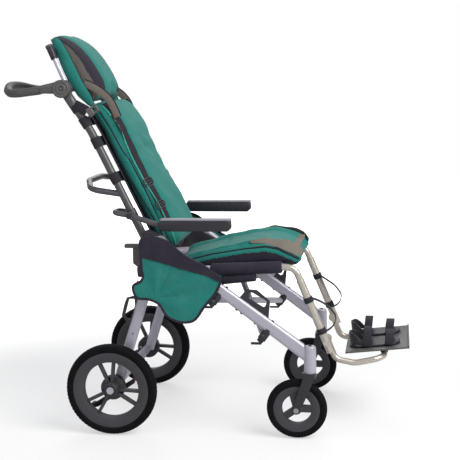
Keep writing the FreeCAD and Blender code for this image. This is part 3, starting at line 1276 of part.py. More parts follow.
def arm_bracket(side):
    """Clamp on the cane with the bolt that the armrest turns on."""
    s = (ARM_PIVOT_Z - BACK_PIVOT_Z) / CANE_LOW_WAY.z
    middle = CANE_FOOT + CANE_LOW_WAY * s
    y = V(0, side * CANE_Y, 0)
    clamp = rod(middle - CANE_LOW_WAY * 16 + y, middle + CANE_LOW_WAY * 16 + y, CANE_R + 3)
    clamp = clamp.cut(rod(middle - CANE_LOW_WAY * 20 + y, middle + CANE_LOW_WAY * 20 + y, CANE_R))
    bolt_in = side * (CANE_Y + CANE_R + 0.5)
    hub_in = ARM_Y - ARM_TUBE_R - 3
    bolt = cross_rod(middle.x, middle.z, bolt_in, side * (ARM_Y + ARM_TUBE_R + 6), ARM_BOLT_R)
    head = cross_rod(middle.x, middle.z, side * (ARM_Y + ARM_TUBE_R + 3 + FACE_CLEAR),
                     side * (ARM_Y + ARM_TUBE_R + 6), ARM_BOLT_R + 3)
    shoulder = cross_rod(middle.x, middle.z, bolt_in, side * (hub_in - FACE_CLEAR), ARM_BOLT_R + 4)
    return clamp.fuse([bolt, head, shoulder]).removeSplitter()


def arm_pivot():
    """Middle of the armrest's bolt, on the cane's line."""
    s = (ARM_PIVOT_Z - BACK_PIVOT_Z) / CANE_LOW_WAY.z
    return CANE_FOOT + CANE_LOW_WAY * s


def arm_tube(side):
    """Armrest eye on its bolt, with a short tail loop behind the cane and a tube forward to the pad."""
    y = side * ARM_Y
    pivot = arm_pivot()
    eye = cross_rod(pivot.x, pivot.z, y - ARM_TUBE_R - 3, y + ARM_TUBE_R + 3, ARM_TUBE_R + 3)
    inner = side * (CANE_Y - CANE_R - ARM_TUBE_R - 6)
    rise = (ARM_PAD_TOP_Z + ARM_PAD_FOOT_Z) / 2
    points = [V(pivot.x + 4, inner, pivot.z), V(ARM_BACK_X, inner, ARM_BACK_Z), V(ARM_BACK_X, y, ARM_BACK_Z),
              V(pivot.x, y, pivot.z), V(ARM_KNEE_X, y, ARM_KNEE_Z), V(ARM_PAD_REAR_X + 22, y, rise - 8),
              V(ARM_PAD_REAR_X + 120, y, rise - 8)]
    tube = bent_bar(points, (22.0, 22.0, 60.0, 60.0, 40.0), ARM_TUBE_R)
    arm = tube.fuse(eye)
    return arm.cut(cross_rod(pivot.x, pivot.z, y - 30, y + 30, ARM_BOLT_R + SHAFT_CLEAR)).removeSplitter()


def arm_pad(side):
    """Moulded arm pad with cut corners, in one piece round the tube's end."""
    y = side * ARM_Y
    outline = [(ARM_PAD_REAR_X, ARM_PAD_FOOT_Z + 6), (ARM_PAD_REAR_X + 12, ARM_PAD_FOOT_Z),
               (ARM_PAD_FRONT_X - 8, ARM_PAD_FOOT_Z), (ARM_PAD_FRONT_X, ARM_PAD_FOOT_Z + 8),
               (ARM_PAD_FRONT_X, ARM_PAD_TOP_Z - 8), (ARM_PAD_FRONT_X - 6, ARM_PAD_TOP_Z),
               (ARM_PAD_REAR_X + 6, ARM_PAD_TOP_Z), (ARM_PAD_REAR_X, ARM_PAD_TOP_Z - 6)]
    pad = profile(outline, y - ARM_PAD_W / 2, y + ARM_PAD_W / 2)
    return pad.cut(arm_tube(side))


def make_arms():
    """Tube and pad of each armrest."""
    for name, side in SIDES:
        save("arm_tube_" + name, arm_tube(side))
        save("arm_pad_" + name, arm_pad(side))


def foot_pivot():
    """Pivot of the footrest on the sleeve's line."""
    return legrest_line(FOOT_PIVOT_Z)


def legrest_sleeve(side):
    """Sleeve that slides on the legrest tube, with a clamp knob and the footrest's bolt."""
    y = V(0, side * RAIL_Y, 0)
    start = legrest_line(LEGREST_SLEEVE_TOP_Z) + y
    end = legrest_line(SLEEVE_FOOT_Z) + y
    way = (end - start).normalize()
    sleeve = rod(start, end, SLEEVE_R)
    knob_z = LEGREST_SLEEVE_TOP_Z - 30
    knob = cross_rod(legrest_line(knob_z).x, knob_z, side * (RAIL_Y - 8), side * (RAIL_Y - SLEEVE_R - 12), 5.0)
    pivot = foot_pivot()
    bolt = cross_rod(pivot.x, pivot.z, side * (FOOT_TUBE_Y - FOOT_TUBE_R - 6), side * (RAIL_Y + SLEEVE_R + 3),
                     FOOT_BOLT_R)
    shoulder = cross_rod(pivot.x, pivot.z, side * (FOOT_TUBE_Y + FOOT_TUBE_R + 3 + FACE_CLEAR),
                         side * (RAIL_Y - SLEEVE_R + 4), FOOT_BOLT_R + 5)
    head = cross_rod(pivot.x, pivot.z, side * (FOOT_TUBE_Y - FOOT_TUBE_R - 6),
                     side * (FOOT_TUBE_Y - FOOT_TUBE_R - 3 - FACE_CLEAR), FOOT_BOLT_R + 3)
    cap = cross_rod(pivot.x, pivot.z, side * (RAIL_Y + SLEEVE_R - 2), side * (RAIL_Y + SLEEVE_R + 4),
                    FOOT_BOLT_R + 4)
    sleeve = sleeve.multiFuse([knob, bolt, shoulder, head, cap])
    bore = rod(start - way * 2, end - way * 50, SLEEVE_BORE_R)
    return sleeve.cut(bore).removeSplitter()


def calf_strap(side):
    """Flat loop of webbing that hangs from the sleeve."""
    middle_y = side * CALF_STRAP_Y
    outer = list(CALF_STRAP_OUTLINE)
    inner = [(x - CALF_STRAP_T, z - CALF_STRAP_T * 0.8) for x, z in reversed(outer[1:-1])]
    inner = [(outer[-1][0] - CALF_STRAP_T, outer[-1][1])] + inner + [(outer[0][0], outer[0][1] - CALF_STRAP_T)]
    strap = profile(outer + inner, middle_y - CALF_STRAP_W / 2, middle_y + CALF_STRAP_W / 2)
    loops = []
    for z in CALF_BAND_ZS:
        point = legrest_line(z) + V(0, side * RAIL_Y, 0)
        way = polar(-LEGREST_ANGLE)
        band = rod(point - way * 9, point + way * 9, SLEEVE_R + 2)
        link = block(point.x - 4, point.x + 22, side * (RAIL_Y - SLEEVE_R - 1), middle_y, z - 3, z + 3)
        loops.append(band.fuse(link).cut(legrest_sleeve(side)).cut(rod(point - way * 30, point + way * 30, SLEEVE_R)))
    return strap.cut(legrest_sleeve(side)).multiFuse(loops).removeSplitter()


def make_legrest():
    """Legrest sleeves and calf straps."""
    save("legrest_sleeves", *[legrest_sleeve(side) for _, side in SIDES])
    save("calf_straps", *[calf_strap(side) for _, side in SIDES])


def foot_tube():
    """Bent tube from one pivot eye, under the plate, to the other."""
    pivot = foot_pivot()
    right = [V(pivot.x, -FOOT_TUBE_Y, pivot.z), V(pivot.x + 26, -FOOT_TUBE_Y, FOOT_LOW_Z + 12),
             V(FOOT_LOW_X, -FOOT_TUBE_Y, FOOT_LOW_Z), V(FOOT_CROSS_X, -FOOT_TUBE_Y + 6, FOOT_CROSS_Z)]
    left = [V(point.x, -point.y, point.z) for point in reversed(right)]
    tube = bent_bar(right + left, (30.0, 60.0, 40.0, 40.0, 60.0, 30.0), FOOT_TUBE_R)
    cutters = []
    for _, side in SIDES:
        y = side * FOOT_TUBE_Y
        eye = cross_rod(pivot.x, pivot.z, y - FOOT_TUBE_R - 3, y + FOOT_TUBE_R + 3, FOOT_TUBE_R + 4)
        tube = tube.fuse(eye)
        cutters.append(cross_rod(pivot.x, pivot.z, y - 30, y + 30, FOOT_BOLT_R + SHAFT_CLEAR))
    return tube.cut(Part.makeCompound(cutters)).removeSplitter()


def foot_plate_z(x):
    """Height of the foot plate's lower face."""
    share = (x - PLATE_REAR_X) / (PLATE_FRONT_X - PLATE_REAR_X)
    return PLATE_REAR_Z + (PLATE_FRONT_Z - PLATE_REAR_Z) * share


def foot_plate():
    """Foot plate with a turned-up front lip and saddles on the cross tube."""
    lip_x = PLATE_FRONT_X - 5
    lip_z = PLATE_FRONT_Z + FOOT_PLATE_T + 3
    corners = [(PLATE_REAR_X, PLATE_REAR_Z), (PLATE_FRONT_X, PLATE_FRONT_Z), (PLATE_FRONT_X, lip_z), (lip_x, lip_z),
               (lip_x, foot_plate_z(lip_x) + FOOT_PLATE_T), (PLATE_REAR_X, PLATE_REAR_Z + FOOT_PLATE_T)]
    plate = profile(corners, -FOOT_PLATE_HALF_W, FOOT_PLATE_HALF_W)
    for _, side in SIDES:
        y = side * SANDAL_Y
        saddle = block(FOOT_CROSS_X - 12, FOOT_CROSS_X + 12, y - 12, y + 12, FOOT_CROSS_Z,
                       foot_plate_z(FOOT_CROSS_X) + 1)
        plate = plate.fuse(saddle)
    plate = plate.cut(foot_tube())
    return sorted(plate.Solids, key=lambda solid: solid.Volume)[-1].removeSplitter()


def foot_sandal(side):
    """Heel cup and sole of a foot holder on the plate."""
    y0 = side * SANDAL_Y - SANDAL_HALF_W
    y1 = side * SANDAL_Y + SANDAL_HALF_W
    x0 = PLATE_REAR_X + 12
    x1 = PLATE_FRONT_X - 30
    lift = FOOT_PLATE_T + FACE_CLEAR
    rear = foot_plate_z(x0) + lift
    front = foot_plate_z(x1) + lift
    sole = profile([(x0, rear), (x1, front), (x1, front + SANDAL_SOLE_T), (x0, rear + SANDAL_SOLE_T)], y0, y1)
    heel_x = x0 + SANDAL_HEEL_LENGTH
    heel = profile([(x0, rear + SANDAL_SOLE_T - 1), (heel_x, foot_plate_z(heel_x) + lift + SANDAL_SOLE_T - 1),
                    (x0 + 40, rear + SANDAL_HEEL_H - 6), (x0 - 2, rear + SANDAL_HEEL_H)], y0, y1)
    room = block(x0 + SANDAL_WALL, heel_x + SANDAL_HEEL_LENGTH, y0 + SANDAL_WALL, y1 - SANDAL_WALL,
                 rear + SANDAL_SOLE_T + 1, rear + 2 * SANDAL_HEEL_H)
    return sole.fuse(heel.cut(room)).removeSplitter()


def foot_strap(side, x, rise):
    """Webbing arch over the foot."""
    y = side * SANDAL_Y
    base = foot_plate_z(x) + FOOT_PLATE_T + SANDAL_SOLE_T

    def arch(half, foot, top):
        left = V(x, y - half, foot)
        right = V(x, y + half, foot)
        wire = Part.Wire([Part.Arc(left, V(x, y, top), right).toShape(), Part.LineSegment(right, left).toShape()])
        return Part.Face(wire).extrude(V(FOOT_STRAP_W, 0, 0))
    strap = arch(SANDAL_HALF_W + FOOT_STRAP_T, base, base + rise)
    strap = strap.cut(arch(SANDAL_HALF_W, base - 1, base + rise - FOOT_STRAP_T))
    return strap.cut(foot_sandal(side))


def make_footrest():
    """Footrest tube, plate, sandals and straps."""
    save("foot_tube", foot_tube())
    save("foot_plate", foot_plate())
    straps = [foot_strap(side, PLATE_REAR_X + reach, rise) for _, side in SIDES for reach, rise in FOOT_STRAPS]
    save("foot_holders", *[foot_sandal(side) for _, side in SIDES], *straps)


os.makedirs("parts", exist_ok=True)
make_base()
make_rear_frame()
make_brake()
make_rear_wheels()
make_casters()
make_seat()
save("tilt_lever", tilt_lever())
make_back()
make_head()
make_handle()
make_arms()
make_legrest()
make_footrest()
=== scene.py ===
"""Looks of a tilt-in-space adaptive stroller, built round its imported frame.

Sizes are millimetres measured from the rear axle on the ground: x forward, y to the occupant's left, z up.
They become metres of the row frame where a mesh is made.
"""
import json
import logging
import math
from dataclasses import dataclass, field
from enum import Enum
from typing import Any, Sequence

import bmesh
import bpy
import numpy as np
from mathutils import Matrix, Vector
from mathutils.bvhtree import BVHTree


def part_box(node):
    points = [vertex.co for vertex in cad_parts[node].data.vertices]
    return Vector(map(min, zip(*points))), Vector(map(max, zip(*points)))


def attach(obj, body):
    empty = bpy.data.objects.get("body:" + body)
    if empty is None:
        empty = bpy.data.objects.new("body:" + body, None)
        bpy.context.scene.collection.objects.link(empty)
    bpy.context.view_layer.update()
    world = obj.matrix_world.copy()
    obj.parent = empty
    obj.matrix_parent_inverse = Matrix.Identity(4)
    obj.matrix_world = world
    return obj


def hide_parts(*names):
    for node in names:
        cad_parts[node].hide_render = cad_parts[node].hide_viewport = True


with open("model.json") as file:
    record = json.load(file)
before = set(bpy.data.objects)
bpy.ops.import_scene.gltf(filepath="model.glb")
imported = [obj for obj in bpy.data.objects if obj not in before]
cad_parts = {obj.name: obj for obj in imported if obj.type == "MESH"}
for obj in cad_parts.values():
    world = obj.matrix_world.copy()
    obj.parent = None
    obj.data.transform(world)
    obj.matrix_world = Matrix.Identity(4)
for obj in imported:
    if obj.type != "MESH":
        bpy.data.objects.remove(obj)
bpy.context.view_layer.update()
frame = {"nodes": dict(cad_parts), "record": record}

LOG = logging.getLogger("stroller")
Array = np.ndarray
AXLE_LOW, AXLE_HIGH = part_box("rear_axle")
MIDDLE_X = -500 * (AXLE_LOW.x + AXLE_HIGH.x)
SIDES = (("left", 1), ("right", -1))
RAIL_Y = 190.5
RAIL_X, RAIL_Z, RAIL_SLOPE = 84.0, 507.0, 20 / 454
LEG_Y = 253.0
LEG_TOP_X, LEG_TOP_Z, LEG_SLOPE = 159.0, 608.0, -348 / 466
LEGREST_X, LEGREST_Z, LEGREST_ANGLE = 576.0, 523.0, math.radians(67.7)
ARM_Y = 225.0
FAR = 1e3
X_WAY = np.array([1.0, 0.0, 0.0])
Y_WAY = np.array([0.0, 1.0, 0.0])
Z_WAY = np.array([0.0, 0.0, 1.0])


def row(points: Any) -> Array:
    """Millimetres from the rear axle as metres in the row frame."""
    return (np.asarray(points, float) - (MIDDLE_X, 0, 0)) / 1000


def runs(*parts: tuple[float, float, int]) -> Array:
    """Values in evenly spaced runs, each a first value, a last one and a count."""
    return np.concatenate([np.linspace(*part) for part in parts])


def numbers(*values: float) -> Any:
    """Dataclass field that holds an array."""
    return field(default_factory=lambda: np.array(values, float))


def rail_height(x: Any) -> Any:
    """Height of the seat rails' middle line."""
    return RAIL_Z + (x - RAIL_X) * RAIL_SLOPE


def linked(name: str, data: Any) -> bpy.types.Object:
    """New object with its data, linked to the scene."""
    made = bpy.data.objects.new(name, data)
    bpy.context.scene.collection.objects.link(made)
    return made


def unit(vectors: Any) -> Array:
    """Vectors of length one, along the last axis."""
    vectors = np.asarray(vectors, float)
    return vectors / np.maximum(np.linalg.norm(vectors, axis=-1, keepdims=True), 1e-12)


def linear(code: str) -> tuple[float, float, float]:
    """Hex colour as linear light.

    Args:
        code: six hex digits after a hash sign.

    Returns:
        Red, green and blue for a shader.
    """
    values = np.array([int(code[i:i + 2], 16) for i in (1, 3, 5)]) / 255
    values = np.where(values <= 0.04045, values / 12.92, ((values + 0.055) / 1.055) ** 2.4)
    return tuple(float(v) for v in values)


def spread(points: Any, count: int, closed: bool = False) -> Array:
    """Smooth line through points, evenly spaced by length.

    Between neighbours it is a cubic whose slopes at the points are the chords of their neighbours
    divided by the distance along them.

    Args:
        points: the (n, 3) or (n, 2) points that the line passes through.
        count: how many points come back.
        closed: whether the last point joins the first.

    Returns:
        The (count, d) points.
    """
    points = np.asarray(points, float)
    if closed:
        points = np.concatenate([points[-2:], points, points[:3]])
    steps = np.maximum(np.linalg.norm(np.diff(points, axis=0), axis=1), 1e-9)
    knots = np.concatenate([[0], np.cumsum(steps)])
    slopes = np.gradient(points, knots, axis=0)
    low, high = (knots[2], knots[-3]) if closed else (knots[0], knots[-1])
    t = np.linspace(low, high, 16 * len(points))
    k = np.clip(np.searchsorted(knots, t, side="right") - 1, 0, len(steps) - 1)
    h = steps[k][:, None]
    w = ((t - knots[k]) / steps[k])[:, None]
    fine = ((2 * w ** 3 - 3 * w ** 2 + 1) * points[k] + (w ** 3 - 2 * w ** 2 + w) * h * slopes[k]
            + (3 * w ** 2 - 2 * w ** 3) * points[k + 1] + (w ** 3 - w ** 2) * h * slopes[k + 1])
    reach = np.concatenate([[0], np.cumsum(np.linalg.norm(np.diff(fine, axis=0), axis=1))])
    places = np.linspace(0, reach[-1], count, endpoint=not closed)
    return np.stack([np.interp(places, reach, fine[:, d]) for d in range(fine.shape[1])], 1)


def circle(radius: float, count: int = 16) -> Array:
    """Round section: radius times cosine and sine of an angle."""
    turn = np.arange(count) * 2 * np.pi / count
    return radius * np.stack([np.cos(turn), np.sin(turn)], 1)


def slab(width: float, height: float, corner: float, steps: int = 3) -> Array:
    """Rectangular section whose corners are quarter circles.

    Args:
        width: first size.
        height: second size.
        corner: radius of the corners.
        steps: points at each corner.

    Returns:
        Points once round, counter-clockwise.
    """
    corner = min(corner, width / 2 - 1e-3, height / 2 - 1e-3)
    turn = np.linspace(0, np.pi / 2, steps)
    quarter = np.arange(4)[:, None] * np.pi / 2 + turn
    sx = np.array([1, -1, -1, 1])[:, None] * (width / 2 - corner)
    sy = np.array([1, 1, -1, -1])[:, None] * (height / 2 - corner)
    return np.stack([sx + corner * np.cos(quarter), sy + corner * np.sin(quarter)], -1).reshape(-1, 2)


@dataclass(frozen=True)
class Patch:
    """Part of a mesh: points in millimetres, faces, and each face corner's place on the cloth in metres."""

    points: Array
    faces: list[tuple[int, ...]]
    uv: Array


def loft(rings: Array, closed: bool = True, caps: bool = True, loop: bool = False) -> Patch:
    """Skin through rings: the surface point at ring i and step j is the j-th point of ring i.

    Args:
        rings: (n, m, 3) points.
        closed: whether each ring joins its own start.
        caps: whether the first and last rings are filled.
        loop: whether the last ring joins the first.

    Returns:
        The patch, with lengths along and around as its place on the cloth.
    """
    n, m = rings.shape[:2]
    i, j = np.meshgrid(np.arange(n if loop else n - 1), np.arange(m if closed else m - 1), indexing="ij")
    i, j = i.ravel(), j.ravel()
    i1, j1 = (i + 1) % n, (j + 1) % m
    quads = np.stack([i * m + j, i * m + j1, i1 * m + j1, i1 * m + j], 1)
    along = np.linalg.norm(np.diff(rings, axis=0, append=rings[:1]), axis=2).mean(1)
    around = np.linalg.norm(np.diff(rings, axis=1, append=rings[:, :1]), axis=2).mean(0)
    v = np.concatenate([[0], np.cumsum(along)]) / 1000
    u = np.concatenate([[0], np.cumsum(around)]) / 1000
    across = np.stack([u[j], u[j + 1], u[j + 1], u[j]], 1)
    lengthwise = np.stack([v[i], v[i], v[i + 1], v[i + 1]], 1)
    uv = np.stack([across, lengthwise], -1)
    faces = [tuple(q) for q in quads.tolist()]
    uv = uv.reshape(-1, 2)
    if closed and caps and not loop:
        for start in (0, (n - 1) * m):
            faces.append(tuple(range(start, start + m))[::-1 if start == 0 else 1])
            flat = rings[0 if start == 0 else -1]
            uv = np.concatenate([uv, (flat - flat.mean(0))[:, :2] / 1000])
    return Patch(rings.reshape(-1, 3), faces, uv)


def sweep(path: Any, section: Array, up: Any = Z_WAY, scale: Any = None, caps: bool = True,
          loop: bool = False) -> Patch:
    """A section carried along a path: path point + first size x side way + second size x up way.

    Args:
        path: (n, 3) middle line.
        section: (m, 2) points, first size sideways and second size towards up.
        up: one rough up way, or one for each point.
        scale: (n,) or (n, 2) factors on the section.
        caps: whether the ends are filled.
        loop: whether the path joins its own start.

    Returns:
        The patch.
    """
    path = np.asarray(path, float)
    if loop:
        tangent = unit(np.roll(path, -1, 0) - np.roll(path, 1, 0))
    else:
        tangent = unit(np.gradient(path, axis=0))
    side = unit(np.cross(tangent, np.broadcast_to(up, path.shape)))
    rise = np.cross(side, tangent)
    factor = np.ones((len(path), 2)) if scale is None else np.asarray(scale, float)
    if factor.ndim == 1:
        factor = np.repeat(factor[:, None], 2, 1)
    rings = (path[:, None] + section[None, :, :1] * factor[:, None, :1] * side[:, None]
             + section[None, :, 1:] * factor[:, None, 1:] * rise[:, None])
    return loft(rings, caps=caps, loop=loop)


def lathe(profile: Any, centre: Any, axis: Any = Y_WAY, count: int = 48, loop: bool = False) -> Patch:
    """Turned shape: centre + offset x axis + radius x (cosine, sine) round the axis.

    Args:
        profile: (m, 2) points of radius and offset.
        centre: the point where the offset is zero.
        axis: the way that the offset runs.
        count: steps round.
        loop: whether the profile closes on itself, as a tyre's does.

    Returns:
        The patch.
    """
    profile = np.asarray(profile, float)
    axis = unit(axis)
    first = unit(np.cross(axis, X_WAY if abs(axis[0]) < 0.9 else Z_WAY))
    second = np.cross(axis, first)
    turn = np.arange(count) * 2 * np.pi / count
    spoke = np.cos(turn)[:, None] * first + np.sin(turn)[:, None] * second
    rings = np.asarray(centre, float) + profile[:, None, 1:] * axis + profile[:, None, :1] * spoke[None]
    return loft(rings, caps=not loop, loop=loop)


def bolt(centre: Any, axis: Any, radius: float, height: float, socket: bool = True) -> Patch:
    """Button head of a screw: a dome with a hollow in its middle."""
    inner = radius * 0.48
    rows = [(radius, 0), (radius, height * 0.35), (radius * 0.86, height * 0.8), (radius * 0.62, height)]
    if socket:
        rows += [(inner, height), (inner * 0.92, height * 0.35), (0.05, height * 0.3)]
    else:
        rows.append((0.05, height))
    return lathe(rows, centre, axis, 24)


def merged(patches: Sequence[Patch]) -> Patch:
    """Several patches as one."""
    points = np.concatenate([p.points for p in patches])
    starts = np.cumsum([0] + [len(p.points) for p in patches])
    faces = [tuple(k + int(start) for k in face) for p, start in zip(patches, starts) for face in p.faces]
    return Patch(points, faces, np.concatenate([p.uv for p in patches]))


class Wire:
    """A shader socket with Python arithmetic, which adds Math nodes."""

    def __init__(self, net: "Net", socket: bpy.types.NodeSocket) -> None:
        """Keeps the net and the output socket."""
        self.net = net
        self.socket = socket

    def math(self, operation: str, *others: Any) -> "Wire":
        """Math node on this value and up to two others.

        Args:
            operation: the node's operation.
            others: numbers or wires.

        Returns:
            The node's value.
        """
        return self.net.node("ShaderNodeMath", {"operation": operation}, dict(enumerate((self, *others))))

    def __add__(self, other: Any) -> "Wire":
        """Sum."""
        return self.math("ADD", other)

    def __sub__(self, other: Any) -> "Wire":
        """Difference."""
        return self.math("SUBTRACT", other)

    def __rsub__(self, other: Any) -> "Wire":
        """Difference from a number."""
        return (self * -1).math("ADD", other)

    def __mul__(self, other: Any) -> "Wire":
        """Product."""
        return self.math("MULTIPLY", other)

    def __pow__(self, other: Any) -> "Wire":
        """Power."""
        return self.math("POWER", other)

    __radd__ = __add__
    __rmul__ = __mul__


class Net:
    """The nodes of one material."""

    def __init__(self, material: bpy.types.Material) -> None:
        """Empties the material's node tree."""
        material.use_nodes = True
        self.tree = material.node_tree
        self.tree.nodes.clear()

    def node(self, kind: str, settings: dict[str, Any] | None = None, inputs: dict[Any, Any] | None = None,
             output: Any = 0) -> "Wire | None":
        """Adds a node.

        Args:
            kind: the node's type.
            settings: its properties, set first.
            inputs: numbers, tuples or wires by socket name or index.
            output: which output comes back, or None for the last node.

        Returns:
            The output as a wire.
        """
        made = self.tree.nodes.new(kind)
        for key, value in (settings or {}).items():
            setattr(made, key, value)
        for key, value in (inputs or {}).items():
            if isinstance(value, Wire):
                self.tree.links.new(value.socket, made.inputs[key])
            elif value is not None:
                made.inputs[key].default_value = value
        return None if output is None else Wire(self, made.outputs[output])

    def noise(self, place: Wire, size_mm: float, detail: float = 3.0, rough: float = 0.55) -> Wire:
        """Noise from 0 to 1 whose blobs are about a size apart."""
        return self.node("ShaderNodeTexNoise", {}, {
            "Vector": place, "Scale": 1000 / size_mm, "Detail": detail, "Roughness": rough}, "Fac")

    def mix(self, factor: Any, first: Any, second: Any) -> Wire:
        """Mix of two colours."""
        return self.node("ShaderNodeMix", {"data_type": "RGBA"}, {0: factor, 6: first, 7: second}, 2)

    def span(self, value: Wire, low: float, high: float, to_low: float = 0.0, to_high: float = 1.0) -> Wire:
        """A value's span stretched onto another, smooth at both ends."""
        return self.node("ShaderNodeMapRange", {"interpolation_type": "SMOOTHSTEP"}, {
            "Value": value, "From Min": low, "From Max": high, "To Min": to_low, "To Max": to_high})

    def stretched(self, place: Wire, scale: tuple[float, float, float]) -> Wire:
        """A place scaled along each way."""
        return self.node("ShaderNodeMapping", {}, {"Vector": place, "Scale": scale})


class Surface(Enum):
    """Kinds of surface detail."""

    PAINT = "paint"
    POLISH = "polish"
    ZINC = "zinc"
    MOULD = "mould"
    RUBBER = "rubber"
    FOAM = "foam"
    CLOTH = "cloth"
    WEBBING = "webbing"


@dataclass(frozen=True)
class Finish:
    """One finish: its colour, gloss and the scale of its detail."""

    name: str
    colour: str
    surface: Surface
    roughness: float
    metallic: float = 0.0
    coat: float = 0.0
    sheen: float = 0.0
    specular: float = 0.5
    dust: float = 0.0
    relief: float = 1.0
    pitch_mm: float = 1.6

    def material(self) -> bpy.types.Material:
        """The finish as a node material, made once."""
        label = self.name + "_finish"
        made = bpy.data.materials.get(label)
        if made is None:
            made = bpy.data.materials.new(label)
            self._build(Net(made))
        return made

    def _build(self, net: Net) -> None:
        """Colour, roughness and relief from noise and weave, on the shader's own sockets."""
        place = net.node("ShaderNodeTexCoord", output="Object")
        cloth = net.node("ShaderNodeTexCoord", output="UV")
        colour, roughness, height, depth = getattr(self, "_" + self.surface.value)(net, place, cloth)
        normal = net.node("ShaderNodeBump", {}, {"Strength": 1.0, "Distance": depth * self.relief / 1000,
                                                 "Height": height})
        shader = net.node("ShaderNodeBsdfPrincipled", {}, {
            "Base Color": colour, "Roughness": roughness, "Metallic": self.metallic, "Normal": normal,
            "Coat Weight": self.coat, "Coat Roughness": 0.25, "Sheen Weight": self.sheen,
            "Sheen Roughness": 0.55, "Specular IOR Level": self.specular})
        net.node("ShaderNodeOutputMaterial", {}, {"Surface": shader}, None)

    def _lighter(self, factor: float) -> tuple[float, ...]:
        """The colour times a factor, a little lifted, as a worn thread shows it."""
        return (*[min(1, c * factor + 0.01) for c in linear(self.colour)], 1)

    def _tones(self, net: Net, place: Wire, size_mm: float, spread_by: float) -> Wire:
        """The colour, a little lighter and darker in blobs, with dust where it gathers."""
        base = np.array(linear(self.colour))
        dark, light = base * (1 - spread_by), np.minimum(base * (1 + spread_by) + 0.004 * spread_by, 1)
        tone = net.mix(net.noise(place, size_mm), (*dark, 1), (*light, 1))
        if self.dust:
            cover = net.span(net.noise(place, 38, 6, 0.7), 0.5, 0.78) * self.dust
            tone = net.mix(cover, tone, (0.42, 0.40, 0.37, 1))
        return tone

    def _paint(self, net: Net, place: Wire, cloth: Wire) -> tuple[Wire, Wire, Wire, float]:
        """Satin paint: orange peel, faint cloudiness and small rubbed spots."""
        rubbed = net.span(net.noise(place, 9, 5, 0.7), 0.66, 0.74)
        colour = net.mix(rubbed * 0.10, self._tones(net, place, 60, 0.05), (0.8, 0.8, 0.8, 1))
        rough = net.noise(place, 14) * 0.12 + (self.roughness - 0.06)
        return colour, rough + rubbed * 0.05, net.noise(place, 1.1, 2) + net.noise(place, 7, 2) * 0.8, 0.05

    def _polish(self, net: Net, place: Wire, cloth: Wire) -> tuple[Wire, Wire, Wire, float]:
        """Bright plating: long fine polishing lines and a little haze."""
        lines = net.noise(net.stretched(place, (1, 1, 0.06)), 0.7, 2)
        haze = net.span(net.noise(place, 30, 5, 0.65), 0.5, 0.75)
        rough = haze * 0.10 + lines * 0.05 + (self.roughness - 0.03)
        return self._tones(net, place, 24, 0.04), rough, lines + net.noise(place, 16, 2) * 0.6, 0.015

    def _zinc(self, net: Net, place: Wire, cloth: Wire) -> tuple[Wire, Wire, Wire, float]:
        """Zinc plating: grain and small stains."""
        stain = net.span(net.noise(place, 6, 6, 0.7), 0.55, 0.8)
        colour = net.mix(stain * 0.3, self._tones(net, place, 12, 0.08), (0.30, 0.29, 0.28, 1))
        return colour, stain * 0.2 + (self.roughness - 0.05), net.noise(place, 0.8, 3), 0.04

    def _mould(self, net: Net, place: Wire, cloth: Wire) -> tuple[Wire, Wire, Wire, float]:
        """Moulded plastic: a leathery grain of cells, with scuffs that shine less."""
        cells = net.node("ShaderNodeTexVoronoi", {"feature": "SMOOTH_F1"},
                         {"Vector": place, "Scale": 1000 / 1.3, "Smoothness": 0.6}, "Distance")
        scuff = net.span(net.noise(net.stretched(place, (0.25, 1, 1)), 5, 5, 0.7), 0.6, 0.8)
        colour = net.mix(scuff * 0.18, self._tones(net, place, 45, 0.08), (0.25, 0.25, 0.26, 1))
        return colour, scuff * 0.14 + (self.roughness - 0.04), cells + net.noise(place, 12, 2) * 0.7, 0.09

    def _rubber(self, net: Net, place: Wire, cloth: Wire) -> tuple[Wire, Wire, Wire, float]:
        """Rubber: dull, with fine pits and greyish dust."""
        dust = net.span(net.noise(place, 22, 6, 0.72), 0.42, 0.8)
        colour = net.mix(dust * 0.03, self._tones(net, place, 30, 0.12), (0.20, 0.19, 0.18, 1))
        return colour, dust * 0.12 + (self.roughness - 0.05), net.noise(place, 1.4, 4, 0.7), 0.18

    def _foam(self, net: Net, place: Wire, cloth: Wire) -> tuple[Wire, Wire, Wire, float]:
        """Closed-cell foam: open pores and a rubbed sheen."""
        pores = net.node("ShaderNodeTexVoronoi", {}, {"Vector": place, "Scale": 1000 / 1.1}, "Distance")
        rub = net.span(net.noise(place, 40, 4), 0.45, 0.7)
        return (self._tones(net, place, 25, 0.12), rub * -0.12 + self.roughness,
                net.span(pores, 0.0, 0.45) + net.noise(place, 6, 3) * 0.8, 0.22)

    def _weave(self, net: Net, cloth: Wire, pitch_mm: float) -> Wire:
        """Plain weave: the product of a sine across and a sine along, each thread one pitch wide."""
        parts = net.node("ShaderNodeSeparateXYZ", {}, {0: cloth})
        along = Wire(net, parts.socket.node.outputs[1])
        turns = 2 * math.pi * 1000 / pitch_mm
        return (parts * turns).math("SINE") * (along * turns).math("SINE")

    def _cloth(self, net: Net, place: Wire, cloth: Wire) -> tuple[Wire, Wire, Wire, float]:
        """Woven cover: threads, small puckers, and colour that is paler where it is rubbed."""
        weave = self._weave(net, cloth, self.pitch_mm)
        slub = net.noise(net.stretched(cloth, (1, 0.08, 1)), 1.8, 2)
        rub = net.span(net.noise(place, 55, 5, 0.6), 0.45, 0.75)
        base = self._tones(net, place, 90, 0.10)
        threads = net.mix(weave * 0.08 + slub * 0.16, base, self._lighter(1.9))
        pale = net.mix(rub * 0.05, threads, (0.30, 0.52, 0.47, 1) if self.pitch_mm > 1.5 else (0.2, 0.2, 0.21, 1))
        pucker = net.noise(place, 26, 3, 0.5)
        return pale, rub * 0.06 + self.roughness, weave * 0.12 + slub * 0.2 + pucker * 4.0, 0.55

